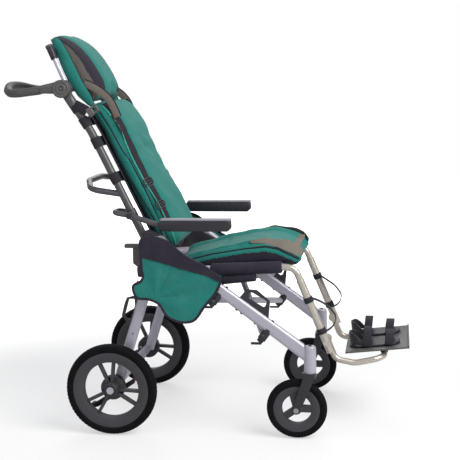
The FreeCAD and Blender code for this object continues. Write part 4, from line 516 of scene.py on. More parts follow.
    def _webbing(self, net: Net, place: Wire, cloth: Wire) -> tuple[Wire, Wire, Wire, float]:
        """Webbing: cross ribs and lengthwise cords from its own place on the strap."""
        parts = net.node("ShaderNodeSeparateXYZ", {}, {0: cloth})
        along = Wire(net, parts.socket.node.outputs[1])
        ribs = (along * (2 * math.pi * 1000 / 1.9)).math("SINE")
        cords = (parts * (2 * math.pi * 1000 / 3.4)).math("SINE")
        fuzz = net.noise(place, 2.2, 3)
        colour = net.mix(ribs * 0.08 + fuzz * 0.25, self._tones(net, place, 30, 0.10), self._lighter(2.2))
        return colour, fuzz * 0.08 + self.roughness, ribs * 0.5 + cords * 0.35 + fuzz * 0.3, 0.28


SILVER = Finish("frame_silver", "#b6b4c0", Surface.PAINT, 0.40, metallic=0.4, coat=0.1)
BRIGHT = Finish("bright_tube", "#cdc5bb", Surface.POLISH, 0.32, metallic=0.7, relief=0.05)
POST = Finish("post_tube", "#c9c8d6", Surface.POLISH, 0.36, metallic=0.55, relief=0.05)
BLACK_PAINT = Finish("black_frame", "#29272e", Surface.PAINT, 0.42, coat=0.15)
GREY_PAINT = Finish("grey_tube", "#4a474c", Surface.PAINT, 0.38, coat=0.2)
BLACK_PLASTIC = Finish("black_plastic", "#27262c", Surface.MOULD, 0.48)
# Lighter grey for the arm pads' top faces: a painted sheen, not the plastic's own colour.
PAD_TOP_SHEEN = Finish("pad_top_sheen", "#85828c", Surface.MOULD, 0.55)
GREY_PLASTIC = Finish("grey_plastic", "#565453", Surface.MOULD, 0.50)
RED_PLASTIC = Finish("red_plastic", "#c0281e", Surface.MOULD, 0.35)
STEEL = Finish("steel", "#a9a9ad", Surface.ZINC, 0.34, metallic=1.0)
TYRE = Finish("tyre_rubber", "#0b0c10", Surface.RUBBER, 0.72, specular=0.10)
RIM = Finish("wheel_plastic", "#3a393e", Surface.MOULD, 0.5)
FOAM = Finish("grip_foam", "#4f4d4c", Surface.FOAM, 0.60, specular=0.4)
GREEN = Finish("green_fabric", "#19736b", Surface.CLOTH, 0.80, sheen=0.10, specular=0.25, pitch_mm=1.6)
GREEN_PIPING = Finish("green_piping", "#2f9c88", Surface.CLOTH, 0.70, sheen=0.10, specular=0.3, pitch_mm=0.9)
BLACK_CLOTH = Finish("black_fabric", "#272330", Surface.CLOTH, 0.82, sheen=0.05, specular=0.25, pitch_mm=1.3)
BLACK_PIPING = Finish("black_piping", "#211d2b", Surface.CLOTH, 0.75, sheen=0.05, specular=0.3, pitch_mm=0.9)
TAUPE = Finish("taupe_strap", "#6d675f", Surface.WEBBING, 0.75, sheen=0.05, specular=0.3)
TAUPE_CLOTH = Finish("taupe_cloth", "#55504b", Surface.CLOTH, 0.8, sheen=0.05, specular=0.3, pitch_mm=1.4)
WEBBING = Finish("black_webbing", "#232028", Surface.WEBBING, 0.75, sheen=0.05, specular=0.3)
SLOT_FINISH = {finish.name: finish for finish in (
    SILVER, BRIGHT, BLACK_PAINT, BLACK_PLASTIC, GREY_PLASTIC, RED_PLASTIC, STEEL, TYRE, FOAM, GREEN, BLACK_CLOTH,
    WEBBING)}


def build(name: str, parts: Sequence[tuple[Patch, Finish]]) -> bpy.types.Object:
    """Makes a smooth mesh object at the origin from patches in millimetres.

    Args:
        name: the piece's name.
        parts: patches with the finish of each.

    Returns:
        The object, linked to the scene.
    """
    whole = merged([patch for patch, _ in parts])
    mesh = bpy.data.meshes.new(name)
    mesh.from_pydata(row(whole.points).tolist(), [], whole.faces)
    layer = mesh.uv_layers.new(name="Cloth")
    layer.data.foreach_set("uv", whole.uv.astype(np.float32).ravel())
    finishes = list(dict.fromkeys(finish for _, finish in parts))
    for finish in finishes:
        mesh.materials.append(finish.material())
    index = np.concatenate([np.full(len(patch.faces), finishes.index(finish)) for patch, finish in parts])
    mesh.polygons.foreach_set("material_index", index.astype(np.int32))
    mesh.polygons.foreach_set("use_smooth", np.ones(len(index), bool))
    tidy_normals(mesh)
    return linked(name, mesh)


def tidy_normals(mesh: bpy.types.Mesh, weld: float = 0.0) -> None:
    """Turns the faces outwards; merges doubles first if a distance in metres is given."""
    work = bmesh.new()
    work.from_mesh(mesh)
    if weld:
        bmesh.ops.remove_doubles(work, verts=work.verts, dist=weld)
    bmesh.ops.recalc_face_normals(work, faces=work.faces)
    work.to_mesh(mesh)
    work.free()


def modifier(made: bpy.types.Object, kind: str, **settings: Any) -> bpy.types.Modifier:
    """Adds a modifier with settings."""
    added = made.modifiers.new(kind.title(), kind)
    for key, value in settings.items():
        setattr(added, key, value)
    return added


def bevelled(made: bpy.types.Object, width_mm: float, segments: int = 2, angle: float = 38.0) -> None:
    """Rounds the edges sharper than an angle with a live modifier."""
    modifier(made, "BEVEL", width=width_mm / 1000, segments=segments, limit_method="ANGLE",
             angle_limit=math.radians(angle), harden_normals=True, use_clamp_overlap=True)


def subdivided(made: bpy.types.Object, levels: int = 1) -> None:
    """Adds a subdivision surface with equal levels."""
    modifier(made, "SUBSURF", levels=levels, render_levels=levels)


def baked(made: bpy.types.Object) -> None:
    """Applies every modifier to the mesh."""
    graph = bpy.context.evaluated_depsgraph_get()
    mesh = bpy.data.meshes.new_from_object(made.evaluated_get(graph), depsgraph=graph)
    made.modifiers.clear()
    made.data = mesh


def settle(made: bpy.types.Object, body: str, nodes: Sequence[str] = ()) -> None:
    """Rides a piece on its body and the nodes that it stands for, and reports it."""
    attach(made, body)
    if nodes:
        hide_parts(*nodes)
    LOG.info("%s on %s, %d faces", made.name, body, len(made.data.polygons))


def refined(name: str, body: str, finish: Finish, width_mm: float = 0.9) -> bpy.types.Object:
    """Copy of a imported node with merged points, whole flat faces and rounded edges, in place of the node.

    Args:
        name: the node's name.
        body: the body that it rides on.
        finish: its finish.
        width_mm: width of the rounding.

    Returns:
        The new piece.
    """
    node = frame["nodes"][name]
    mesh = node.data.copy()
    mesh.transform(node.matrix_world)
    work = bmesh.new()
    work.from_mesh(mesh)
    bmesh.ops.remove_doubles(work, verts=work.verts, dist=0.00002)
    bmesh.ops.dissolve_limit(work, angle_limit=math.radians(1.0), verts=work.verts, edges=work.edges)
    bmesh.ops.recalc_face_normals(work, faces=work.faces)
    work.to_mesh(mesh)
    work.free()
    mesh.materials.clear()
    mesh.materials.append(finish.material())
    mesh.polygons.foreach_set("material_index", np.zeros(len(mesh.polygons), np.int32))
    mesh.polygons.foreach_set("use_smooth", np.ones(len(mesh.polygons), bool))
    made = linked(name + "_refined", mesh)
    bevelled(made, width_mm, 2, 32)
    settle(made, body, [name])
    return made


def frame_slots() -> dict[str, str]:
    """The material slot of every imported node."""
    return {entry["node"]: entry["material_slot"] for entry in frame["record"]["subparts"]}


def coordinates(mesh: bpy.types.Mesh) -> Array:
    """The mesh's points in millimetres from the rear axle."""
    flat = np.empty(len(mesh.vertices) * 3)
    mesh.vertices.foreach_get("co", flat)
    return flat.reshape(-1, 3) * 1000 + (MIDDLE_X, 0, 0)


def normals(mesh: bpy.types.Mesh) -> Array:
    """The mesh's point normals."""
    flat = np.empty(len(mesh.vertices) * 3)
    mesh.vertex_normals.foreach_get("vector", flat)
    return flat.reshape(-1, 3)


def set_coordinates(mesh: bpy.types.Mesh, points: Array) -> None:
    """Puts millimetre points back into the mesh."""
    mesh.vertices.foreach_set("co", row(points).astype(np.float32).ravel())
    mesh.update()


@dataclass(frozen=True)
class Stuffing:
    """How a padded piece is filled: voxel size, pressure and the cap on how far a point may move."""

    voxel_mm: float = 5.5
    pressure: float = 4.0
    cap_mm: float = 8.0
    frames: int = 20

    def fill(self, made: bpy.types.Object) -> None:
        """Remeshes the piece and blows it up a little with a cloth simulation, then subdivides it once.

        The sagging between seams comes from the cloth; a point moves by at most the cap.
        """
        materials = list(made.data.materials)
        modifier(made, "REMESH", mode="VOXEL", voxel_size=self.voxel_mm / 1000, use_smooth_shade=True)
        baked(made)
        start = coordinates(made.data)
        cloth = modifier(made, "CLOTH")
        cloth.settings.quality = 5
        cloth.settings.mass = 0.3
        cloth.settings.tension_stiffness = 12
        cloth.settings.compression_stiffness = 12
        cloth.settings.shear_stiffness = 4
        cloth.settings.bending_stiffness = 0.4
        cloth.settings.use_pressure = True
        cloth.settings.uniform_pressure_force = self.pressure
        cloth.settings.effector_weights.gravity = 0
        cloth.point_cache.frame_start = 1
        cloth.point_cache.frame_end = self.frames
        scene = bpy.context.scene
        for number in range(1, self.frames + 1):
            scene.frame_set(number)
        baked(made)
        scene.frame_set(1)
        moved = coordinates(made.data) - start
        size = np.linalg.norm(moved, axis=1, keepdims=True)
        set_coordinates(made.data, start + moved * np.minimum(1, self.cap_mm / np.maximum(size, 1e-9)))
        subdivided(made)
        baked(made)
        made.data.materials.clear()
        for material in materials:
            made.data.materials.append(material)


def crease(made: bpy.types.Object, distance: Array, depth_mm: float, width_mm: float) -> None:
    """Sinks the surface along a line: depth x exp(-(distance / width) squared), against the normals."""
    points = coordinates(made.data)
    sink = depth_mm * np.exp(-(distance / width_mm) ** 2)
    set_coordinates(made.data, points - normals(made.data) * sink[:, None])


def cloth_uv(made: bpy.types.Object, across: Array, along: Array) -> None:
    """Gives each point its place on the cloth, in millimetres across and along."""
    mesh = made.data
    for layer in list(mesh.uv_layers):
        mesh.uv_layers.remove(layer)
    corner = np.empty(len(mesh.loops), np.int32)
    mesh.loops.foreach_get("vertex_index", corner)
    layer = mesh.uv_layers.new(name="Cloth")
    layer.data.foreach_set("uv", (np.stack([across, along], 1)[corner] / 1000).astype(np.float32).ravel())


def paint_faces(made: bpy.types.Object, index: Array) -> None:
    """Gives each face the material whose number its first corner's point has."""
    mesh = made.data
    start = np.empty(len(mesh.polygons), np.int32)
    mesh.polygons.foreach_get("loop_start", start)
    corner = np.empty(len(mesh.loops), np.int32)
    mesh.loops.foreach_get("vertex_index", corner)
    mesh.polygons.foreach_set("material_index", index[corner[start]].astype(np.int32))
    mesh.polygons.foreach_set("use_smooth", np.ones(len(start), bool))


def laid_on(made: bpy.types.Object, points: Array, ways: Array, lift: float, reach: float = 80.0) -> Array:
    """Points moved onto a piece's surface along rays.

    Args:
        made: the piece they lie on.
        points: (n, 3) points near the surface.
        ways: the outward way, one or one for each point.
        lift: how far above the surface they end.
        reach: how far out the rays start.

    Returns:
        The points on the surface; a ray that misses leaves its point where it was.
    """
    tree = BVHTree.FromPolygons([v.co for v in made.data.vertices], [p.vertices for p in made.data.polygons])
    ways = unit(np.broadcast_to(ways, points.shape))
    found = []
    for point, way in zip(points, ways):
        hit = tree.ray_cast(Vector(row(point + way * reach)), Vector(-way), 2 * reach / 1000)[0]
        found.append(point if hit is None else np.array(hit) * 1000 + (MIDDLE_X, 0, 0) + way * lift)
    return np.array(found)


@dataclass(frozen=True)
class Studio:
    """Camera, soft lights and the pale floor."""

    camera_place: tuple[float, float, float] = (891.3, -3472.8, 1154.9)
    right: tuple[float, float, float] = (0.98811, 0.15246, -0.01967)
    up: tuple[float, float, float] = (-0.00405, 0.15373, 0.98810)
    look: tuple[float, float, float] = (-0.15367, 0.97628, -0.15252)
    lens: float = 84.77

    def camera(self) -> None:
        """Camera at the photograph's place: its columns are right, up and the reverse of its look."""
        data = bpy.data.cameras.new("Camera")
        data.lens = self.lens
        data.sensor_width = 36
        data.clip_end = 60
        made = linked("Camera", data)
        turn = Matrix((self.right, self.up, [-v for v in self.look])).transposed()
        made.matrix_world = Matrix.Translation(row(self.camera_place)) @ turn.to_4x4()
        bpy.context.scene.camera = made

    def lamp(self, name: str, place: Sequence[float], aim: Sequence[float], size: float, power: float,
             tint: Sequence[float] = (1, 1, 1)) -> None:
        """Square soft lamp that looks at a point."""
        data = bpy.data.lights.new(name, "AREA")
        data.size, data.energy, data.color = size, power, tint
        made = linked(name, data)
        made.location = place
        made.rotation_mode = "QUATERNION"
        made.rotation_quaternion = (Vector(aim) - Vector(place)).to_track_quat("-Z", "Y")

    def surroundings(self) -> None:
        """White world for the camera and for transmission rays, a softer grey one for the light it gives."""
        world = bpy.data.worlds.new("World")
        bpy.context.scene.world = world
        world.use_nodes = True
        tree = world.node_tree
        tree.nodes.clear()
        path = tree.nodes.new("ShaderNodeLightPath")
        seen = tree.nodes.new("ShaderNodeMath")
        seen.operation = "MAXIMUM"
        tree.links.new(path.outputs["Is Camera Ray"], seen.inputs[0])
        tree.links.new(path.outputs["Is Transmission Ray"], seen.inputs[1])
        light, white, mixed = (tree.nodes.new(kind) for kind in
                               ("ShaderNodeBackground", "ShaderNodeBackground", "ShaderNodeMixShader"))
        light.inputs["Color"].default_value = (0.96, 0.98, 1.0, 1)
        light.inputs["Strength"].default_value = 0.42
        white.inputs["Color"].default_value = (1, 1, 1, 1)
        white.inputs["Strength"].default_value = 1.0
        tree.links.new(seen.outputs[0], mixed.inputs[0])
        tree.links.new(light.outputs[0], mixed.inputs[1])
        tree.links.new(white.outputs[0], mixed.inputs[2])
        out = tree.nodes.new("ShaderNodeOutputWorld")
        tree.links.new(mixed.outputs[0], out.inputs["Surface"])

    def floor(self) -> None:
        """Large pale floor that the camera sees as nearly white, with the object's soft shadow on it."""
        corners = [(-7.0, -7.0, 0), (7.0, -7.0, 0), (7.0, 7.0, 0), (-7.0, 7.0, 0)]
        mesh = bpy.data.meshes.new("floor")
        mesh.from_pydata(corners, [], [(0, 1, 2, 3)])
        made = linked("floor", mesh)
        material = bpy.data.materials.new("floor")
        net = Net(material)
        seen = net.node("ShaderNodeLightPath", output="Is Camera Ray")
        place = net.node("ShaderNodeTexCoord", output="Object")
        away = net.node("ShaderNodeVectorMath", {"operation": "LENGTH"}, {0: place}, "Value")
        diffuse = net.node("ShaderNodeBsdfDiffuse", {}, {"Color": (0.62, 0.62, 0.63, 1)})
        glow = net.node("ShaderNodeEmission", {}, {"Color": (1, 1, 1, 1), "Strength": 1.9})
        share = seen * net.span(away, 0.9, 2.6, 0.27, 1.0)
        mixed = net.node("ShaderNodeMixShader", {}, {0: share, 1: diffuse, 2: glow})
        net.node("ShaderNodeOutputMaterial", {}, {"Surface": mixed}, None)
        mesh.materials.append(material)

    def build(self) -> None:
        """Sets up the whole studio."""
        bpy.context.scene.view_settings.view_transform = "Standard"
        self.camera()
        self.surroundings()
        self.floor()
        self.lamp("key", (2.6, -1.7, 2.9), (0, 0, 0.5), 2.4, 140, (1, 0.985, 0.97))
        self.lamp("fill", (-2.0, -2.7, 2.2), (0, 0, 0.5), 2.4, 22, (0.95, 0.98, 1))
        self.lamp("back", (-0.6, 3.0, 2.8), (0, 0, 0.6), 2.6, 44)


@dataclass(frozen=True)
class BackLine:
    """The bent middle line of the back's canes, measured upwards from the foot pivot."""

    foot_x: float = 136.0
    foot_z: float = 545.0
    low_angle: float = 64.5
    top_angle: float = 57.5
    knee: float = 449.0
    blend: float = 90.0
    first: float = -80.0
    last: float = 900.0

    def table(self) -> tuple[Array, Array, Array]:
        """Lengths, points and angles along the line.

        The angle turns from the lower to the upper one over the blend length, as a smooth step, and the
        points are the running sum of (-cosine, sine) of it.
        """
        s = np.arange(self.first, self.last)
        w = np.clip((s - self.knee + self.blend / 2) / self.blend, 0, 1)
        angle = np.radians(self.low_angle + (self.top_angle - self.low_angle) * w * w * (3 - 2 * w))
        x = np.cumsum(-np.cos(angle))
        z = np.cumsum(np.sin(angle))
        zero = int(np.argmin(np.abs(s)))
        return s, np.stack([x - x[zero] + self.foot_x, z - z[zero] + self.foot_z], 1), angle

    def at(self, s: Any, depth: Any, y: Any) -> Array:
        """Point at a length up the back, a depth ahead of the canes' line and a place across."""
        s, depth, y = np.broadcast_arrays(*(np.asarray(v, float) for v in (s, depth, y)))
        lengths, points, angles = self.table()
        angle = np.interp(s, lengths, angles)
        x = np.interp(s, lengths, points[:, 0]) + depth * np.sin(angle)
        z = np.interp(s, lengths, points[:, 1]) + depth * np.cos(angle)
        return np.stack([x, y, z], -1)

    def ahead(self, s: Any) -> Array:
        """Unit way ahead of the line at a length."""
        lengths, _, angles = self.table()
        angle = np.interp(np.asarray(s, float), lengths, angles)
        return np.stack([np.sin(angle), np.zeros_like(angle), np.cos(angle)], -1)

    def upwards(self, s: Any) -> Array:
        """Unit way up the line at a length."""
        ahead = self.ahead(s)
        return np.stack([-ahead[..., 2], np.zeros_like(ahead[..., 0]), ahead[..., 0]], -1)

    def inverse(self, points: Array) -> tuple[Array, Array]:
        """Length and depth of points, from the nearest point of the line."""
        lengths, line, _ = self.table()
        low = math.radians(self.low_angle)
        rise = (points[:, 2] - self.foot_z) * math.sin(low) - (points[:, 0] - self.foot_x) * math.cos(low)
        rough = np.clip(np.rint(rise), self.first + 5, self.last - 10)
        best = np.full(len(points), 1e12)
        s = rough.copy()
        for step in range(-60, 61, 4):
            trial = np.clip(rough + step, self.first, self.last - 1)
            index = (trial - self.first).astype(int)
            gap = ((points[:, [0, 2]] - line[index]) ** 2).sum(1)
            better = gap < best
            best = np.where(better, gap, best)
            s = np.where(better, trial, s)
        for _ in range(3):
            offset = points - self.at(s, 0, points[:, 1])
            s = np.clip(s + (offset * self.upwards(s)).sum(1), self.first, self.last - 1)
        offset = points - self.at(s, 0, points[:, 1])
        return s, (offset * self.ahead(s)).sum(1)


BACK = BackLine()


def power(value: Array, exponent: float) -> Array:
    """Signed power."""
    return np.sign(value) * np.abs(value) ** exponent


def pad_ring(count: int, half: Array, low: Array, high: Array, shape: float = 0.42) -> tuple[Array, Array]:
    """Rounded section of a pad at each station.

    A superellipse: across = half x cos^shape, and depth = middle + half depth x sin^shape.

    Args:
        count: points round.
        half: (n,) half widths.
        low: (n,) rear depths.
        high: (n,) front depths.
        shape: exponent; smaller is squarer.

    Returns:
        Across and depth, each (n, count).
    """
    turn = (np.arange(count) + 0.5) * 2 * np.pi / count
    across = half[:, None] * power(np.cos(turn), shape)
    depth = (low + high)[:, None] / 2 + (high - low)[:, None] / 2 * power(np.sin(turn), shape * 1.15)
    return across, depth


def rounded_ends(s: Array, reach: float) -> Array:
    """Factor that draws a pad in at both ends, as a quarter circle over a reach."""
    gap = np.clip(np.minimum(s - s[0], s[-1] - s) / reach, 0, 1)
    return np.sqrt(np.clip(1 - (1 - gap) ** 2, 0.02, 1))


@dataclass
class Backrest:
    """Long back cushion, its panel, webbing and piping, all on the back's canes."""

    half: float = 157.0
    rear: float = 17.0
    top: float = 526.0
    stations: Array = numbers(0, 60, 150, 246, 337, 380, 420, 477, 526)
    fronts: Array = numbers(88, 97, 98, 90, 89, 92, 97, 89, 80)
    valley: float = 138.0

    def front(self, s: Array, y: Array) -> Array:
        """Depth of the front face: its station's depth, lower in two valleys and fuller in the middle."""
        base = np.interp(s, self.stations, self.fronts)
        return base - 5 * np.exp(-((np.abs(y) - self.valley) / 9) ** 2) + 3 * np.exp(-(y / 70) ** 2)

    def cushion(self) -> bpy.types.Object:
        """The stuffed cushion with its seams and channels."""
        s = runs((2, 30, 7), (45, 486, 34), (498, 526, 7))
        ends = rounded_ends(s, 26)
        high = np.interp(s, self.stations, self.fronts) - 3
        low = np.full_like(s, self.rear)
        middle = (high + low) / 2
        half = self.half - 10 * (1 - rounded_ends(s, 60))
        rear, front = middle - (middle - low) * ends, middle + (high - middle) * ends
        across, depth = pad_ring(56, half - 4, rear, front)
        made = build("back_cushion_cover", [(loft(BACK.at(s[:, None], depth, across)), GREEN)])
        Stuffing(6.0, 4.0, 7.0).fill(made)
        points = coordinates(made.data)
        length, deep = BACK.inverse(points)
        y = points[:, 1]
        ahead = deep > 55
        crease(made, np.where(ahead, np.abs(np.abs(y) - self.valley), FAR), 6.0, 10.0)
        for line in self.side_lines(length):
            crease(made, np.where(np.abs(y) > 140, np.abs(deep - line), FAR), 2.2, 4.0)
        waist = np.abs(length - 337 + 0.0008 * y * y)
        crease(made, np.where(ahead & (np.abs(y) < 118), waist, FAR), 5.0, 14.0)
        self.wrinkle(made, length, y, deep)
        cloth_uv(made, y + np.sign(y) * (90 - deep) * (np.abs(y) > 120), length)
        points = coordinates(made.data)
        paint_faces(made, np.zeros(len(points), int))
        settle(made, "back", ["back_cushion"])
        return made

    def side_lines(self, s: Array) -> list[Array]:
        """Depths of the two piped lines along the cushion's side at a length."""
        knots = (0, 120, 207, 313, 365, 519)
        return [np.interp(s, knots, (55, 56, 59, 57, 50, 44)), np.interp(s, knots, (44, 42, 33, 24, 20, 20))]

    def wrinkle(self, made: bpy.types.Object, s: Array, y: Array, deep: Array) -> None:
        """Soft folds on the front face: sines along two slanted ways that fade away from the seams."""
        pull = np.exp(-((s - 340) / 70) ** 2)
        wave = np.sin(s / 9.5 + 0.03 * y + 1.4 * np.sin(y / 37)) * pull * 1.4
        wave += np.sin((s + 0.8 * y) / 31 + np.sin(y / 50)) * 1.1
        wave += np.sin((s - 0.6 * y) / 19 + 2 * np.sin(s / 80)) * 0.7 * np.exp(-((s - 80) / 90) ** 2)
        points = coordinates(made.data)
        wave *= np.clip((deep - 20) / 40, 0, 1)
        set_coordinates(made.data, points + normals(made.data) * wave[:, None])

    def piping(self, cushion: bpy.types.Object) -> None:
        """Dark cords along the side lines and the front's edge, laid on the cushion's skin."""
        parts = []
        s = np.linspace(14, 506, 90)
        for _, side in SIDES:
            for line in self.side_lines(s):
                rough = BACK.at(s, line, side * (self.half + 2))
                skin = laid_on(cushion, rough, side * Y_WAY, 0.4)
                parts.append((sweep(skin, circle(1.7, 8), side * Y_WAY), BLACK_PIPING))
            edge = BACK.at(s, self.front(s, np.full_like(s, 150.0)) - 14, side * 154.0)
            way = BACK.ahead(s) * 0.45 + side * Y_WAY * 0.89
            skin = laid_on(cushion, edge, way, 0.9)
            parts.append((sweep(skin, circle(3.0, 8), side * Y_WAY), GREEN_PIPING))
        made = build("back_piping", parts)
        settle(made, "back")

    def shoulder_straps(self, cushion: bpy.types.Object) -> None:
        """Webbing that comes from under the head cushion and lies on the cushion's edge, with its buckles."""
        parts, buckles = [], []
        s = np.linspace(60, 506, 90)
        for _, side in SIDES:
            way = unit(0.74 * BACK.ahead(s) + 0.67 * side * Y_WAY)
            line = laid_on(cushion, BACK.at(s, 92, side * 146.0), way, 2.2)
            width = np.interp(s, [60, 180, 506], [0.9, 0.9, 1.0])
            scale = np.stack([width, np.ones_like(width)], 1)
            parts.append((sweep(line, slab(27, 2.2, 0.9), way, scale), WEBBING))
            for place, tall in ((228.0, 26.0), (148.0, 22.0)):
                index = int(np.argmin(np.abs(s - place)))
                buckles.append(self.ladder(line[index], BACK.upwards(place), way[index], tall))
        made = build("shoulder_straps", parts)
        settle(made, "back", ["back_straps"])
        clips = build("strap_buckles", buckles)
        bevelled(clips, 0.8)
        settle(clips, "back")

    def ladder(self, centre: Array, way: Array, out: Array, tall: float) -> tuple[Patch, Finish]:
        """Ladder buckle: a rounded frame with two cross bars, lying on the strap."""
        across = unit(np.cross(way, out))
        high = tall / 2
        half = np.array([(-14, 4 - high), (-10, -high), (0, -high), (10, -high), (14, 4 - high)])
        frame_line = spread(np.concatenate([half, -half]), 60, closed=True)
        line = centre + out * 1.6 + frame_line[:, :1] * across + frame_line[:, 1:] * way
        patches = [sweep(line, slab(4.0, 3.0, 1.2), out, loop=True)]
        for offset in (-tall * 0.18, tall * 0.18):
            bar = centre + out * 2.4 + np.linspace(-13, 13, 6)[:, None] * across + offset * way
            patches.append(sweep(bar, slab(3.4, 2.6, 1.0), out))
        return merged(patches), BLACK_PLASTIC

    def lacing(self) -> None:
        """Straps that wrap round the canes and run behind the panel."""
        parts = []
        for s, wide in ((288.0, 34.0), (412.0, 34.0), (484.0, 34.0), (550.0, 52.0)):
            ahead = BACK.ahead(s)
            turn = np.linspace(-0.5 * np.pi, 1.5 * np.pi, 40)
            for _, side in SIDES:
                centre = BACK.at(s, 0, side * 190.0)
                line = centre + 13.9 * (np.cos(turn)[:, None] * ahead + side * np.sin(turn)[:, None] * Y_WAY)
                parts.append((sweep(line, slab(wide, 2.4, 0.9), line - centre, loop=True), WEBBING))
            if s > self.top:
                continue
            y = np.linspace(-190, 190, 40)
            sag = 6.6 - 1.6 * np.cos(y / 190 * np.pi / 2)
            parts.append((sweep(BACK.at(s, sag, y), slab(wide - 1, 2.0, 0.8), ahead), WEBBING))
        made = build("lacing_straps", parts)
        settle(made, "back")

    def sling(self) -> None:
        """Sling behind the cushion: a shallow sheet with a cord along each edge."""
        s = np.linspace(14, 522, 60)
        y = np.linspace(-146, 146, 40)
        depth = 12.6 + 2.4 * (y[None] / 146) ** 2 + 0 * s[:, None]
        made = build("back_sling", [(loft(BACK.at(s[:, None], depth, y[None]), closed=False), BLACK_CLOTH)])
        modifier(made, "SOLIDIFY", thickness=0.0016, offset=0.0)
        settle(made, "back", ["back_panel"])
        edging = build("sling_cords", [
            (sweep(BACK.at(s, 15.0, side * 147.0), circle(2.2, 10), side * Y_WAY), BLACK_PIPING) for side in (-1, 1)])
        settle(edging, "back")

    def make(self) -> None:
        """Builds everything on the back."""
        self.sling()
        cushion = self.cushion()
        self.piping(cushion)
        self.shoulder_straps(cushion)
        self.lacing()


@dataclass
class Headrest:
    """Head cushion with coloured side bands and a padded wing at each side."""

    stations: Array = numbers(529, 571, 615, 657, 695, 719, 745, 765, 777, 788)
    rears: Array = numbers(20, 15, 12, 15, 22, 27, 30, 31, 29, 22)
    fronts: Array = numbers(94, 101, 104, 104, 99, 92, 79, 65, 53, 36)
    halves: Array = numbers(147, 148, 148, 148, 147, 146, 143, 135, 119, 82)
    crown: float = 20.0

    def cushion(self) -> bpy.types.Object:
        """The stuffed head cushion, its faces banded by how far ahead they lie.

        The front face is lower towards its sides by crown x (across / half) squared, and the rear one is
        fuller in the middle by 14 mm x (1 - (across / half) squared).
        """
        s = runs((530, 548, 6), (556, 760, 22), (765, 789, 9))
        ends = rounded_ends(s, 18)
        low, high = np.interp(s, self.stations, self.rears), np.interp(s, self.stations, self.fronts)
        middle = (low + high) / 2
        half = np.interp(s, self.stations, self.halves) - 3
        rear, front = middle - (middle - low - 3) * ends, middle + (high - middle - 3) * ends
        across, depth = pad_ring(52, half, rear, front)
        side = (across / half[:, None]) ** 2
        full = (depth - low[:, None]) / (high - low)[:, None]
        depth = depth - self.crown * side * np.clip(full, 0, 1) - 14 * (1 - side) * np.clip(1 - full, 0, 1)
        made = build("head_cushion_cover", [(loft(BACK.at(s[:, None], depth, across)), GREEN)])
        Stuffing(6.0, 4.0, 6.0).fill(made)
        for finish in (TAUPE_CLOTH, BLACK_CLOTH):
            made.data.materials.append(finish.material())
        points = coordinates(made.data)
        length, deep = BACK.inverse(points)
        y = np.abs(points[:, 1])
        half_now = np.interp(length, self.stations, self.halves)
        rear = np.interp(length, self.stations, self.rears)
        front = np.interp(length, self.stations, self.fronts) - self.crown * (y / half_now) ** 2
        share = (deep - rear) / np.maximum(front - rear, 5)
        edge = half_now - 22
        crease(made, np.where(y > edge, np.abs(share - 0.95) * 70, FAR), 1.6, 3.0)
        crease(made, np.abs(y - 72) + FAR * (share < 0.6), 2.4, 6.0)
        cloth_uv(made, points[:, 1] + np.sign(points[:, 1]) * (80 - deep) * (y > 110), length)
        band = np.where(share < 0.30, 0, np.where(share < 0.93, 1, 2))
        paint_faces(made, np.where(y > edge, band, np.where((share > 0.8) & (y > 72), 2, 0)))
        settle(made, "headrest", ["head_cushion"])
        return made

    def wings(self) -> None:
        """Slim padded leaf along each rear edge, tapering to a point below; the left one is shorter."""
        parts = []
        for _, side in SIDES:
            s = np.linspace(506, 760, 70)
            rear = np.interp(s, (506, 529, 567, 623, 692, 731, 750, 757, 760),
                             (41, 29, 18.5, 18.5, 31, 38, 45, 50, 55))
            front = np.interp(s, (506, 513, 550, 599, 661, 710, 740, 755, 760),
                              (41.5, 46, 54, 55, 64.5, 69, 70, 66, 59))
            lean = side * (150 + 4 * np.sin(np.pi * (s - 506) / 254))
            if side > 0:
                s = 506 + (s - 506) * 0.90
            centre = BACK.at(s, (rear + front) / 2, lean)
            width = np.maximum(front - rear, 1.5)
            thick = 6.5 * np.clip(width / 30, 0.3, 1)
            size = np.stack([width / 2, thick], 1)
            parts.append((sweep(centre, circle(1.0, 20), side * Y_WAY, size), GREEN))
            for line in (rear + 0.2, front - 0.2):
                parts.append((sweep(BACK.at(s, line, lean), circle(1.6, 8), side * Y_WAY), BLACK_PIPING))
        made = build("head_wings", parts)
        settle(made, "headrest")

    def straps(self) -> None:
        """Strap that arches from under each wing to the back cushion: webbing with a dark edge."""
        parts = []
        route = np.array([(592, 56), (572, 70), (550, 82), (524, 91), (498, 94), (476, 91), (450, 86)])
        across = np.array([150, 152, 152, 150, 147, 144, 141])
        ahead, up = BACK.ahead(520.0), BACK.upwards(520.0)
        for _, side in SIDES:
            depth = route[:, 1] - (22 if side > 0 else 0)
            line = spread(BACK.at(route[:, 0], depth, side * across), 60)
            turn = unit(np.gradient(line, axis=0))
            out = unit(np.cross(turn, side * Y_WAY))
            parts.append((sweep(line, slab(2.4, 24, 0.9), out), TAUPE))
            parts.append((sweep(line + 11.8 * out * side, circle(2.0, 8), ahead + up), BLACK_PIPING))
        made = build("head_straps", parts)
        settle(made, "headrest")

    def make(self) -> None:
        """Builds the head cushion, its wings and its straps."""
        self.cushion()
        self.wings()
        self.straps()


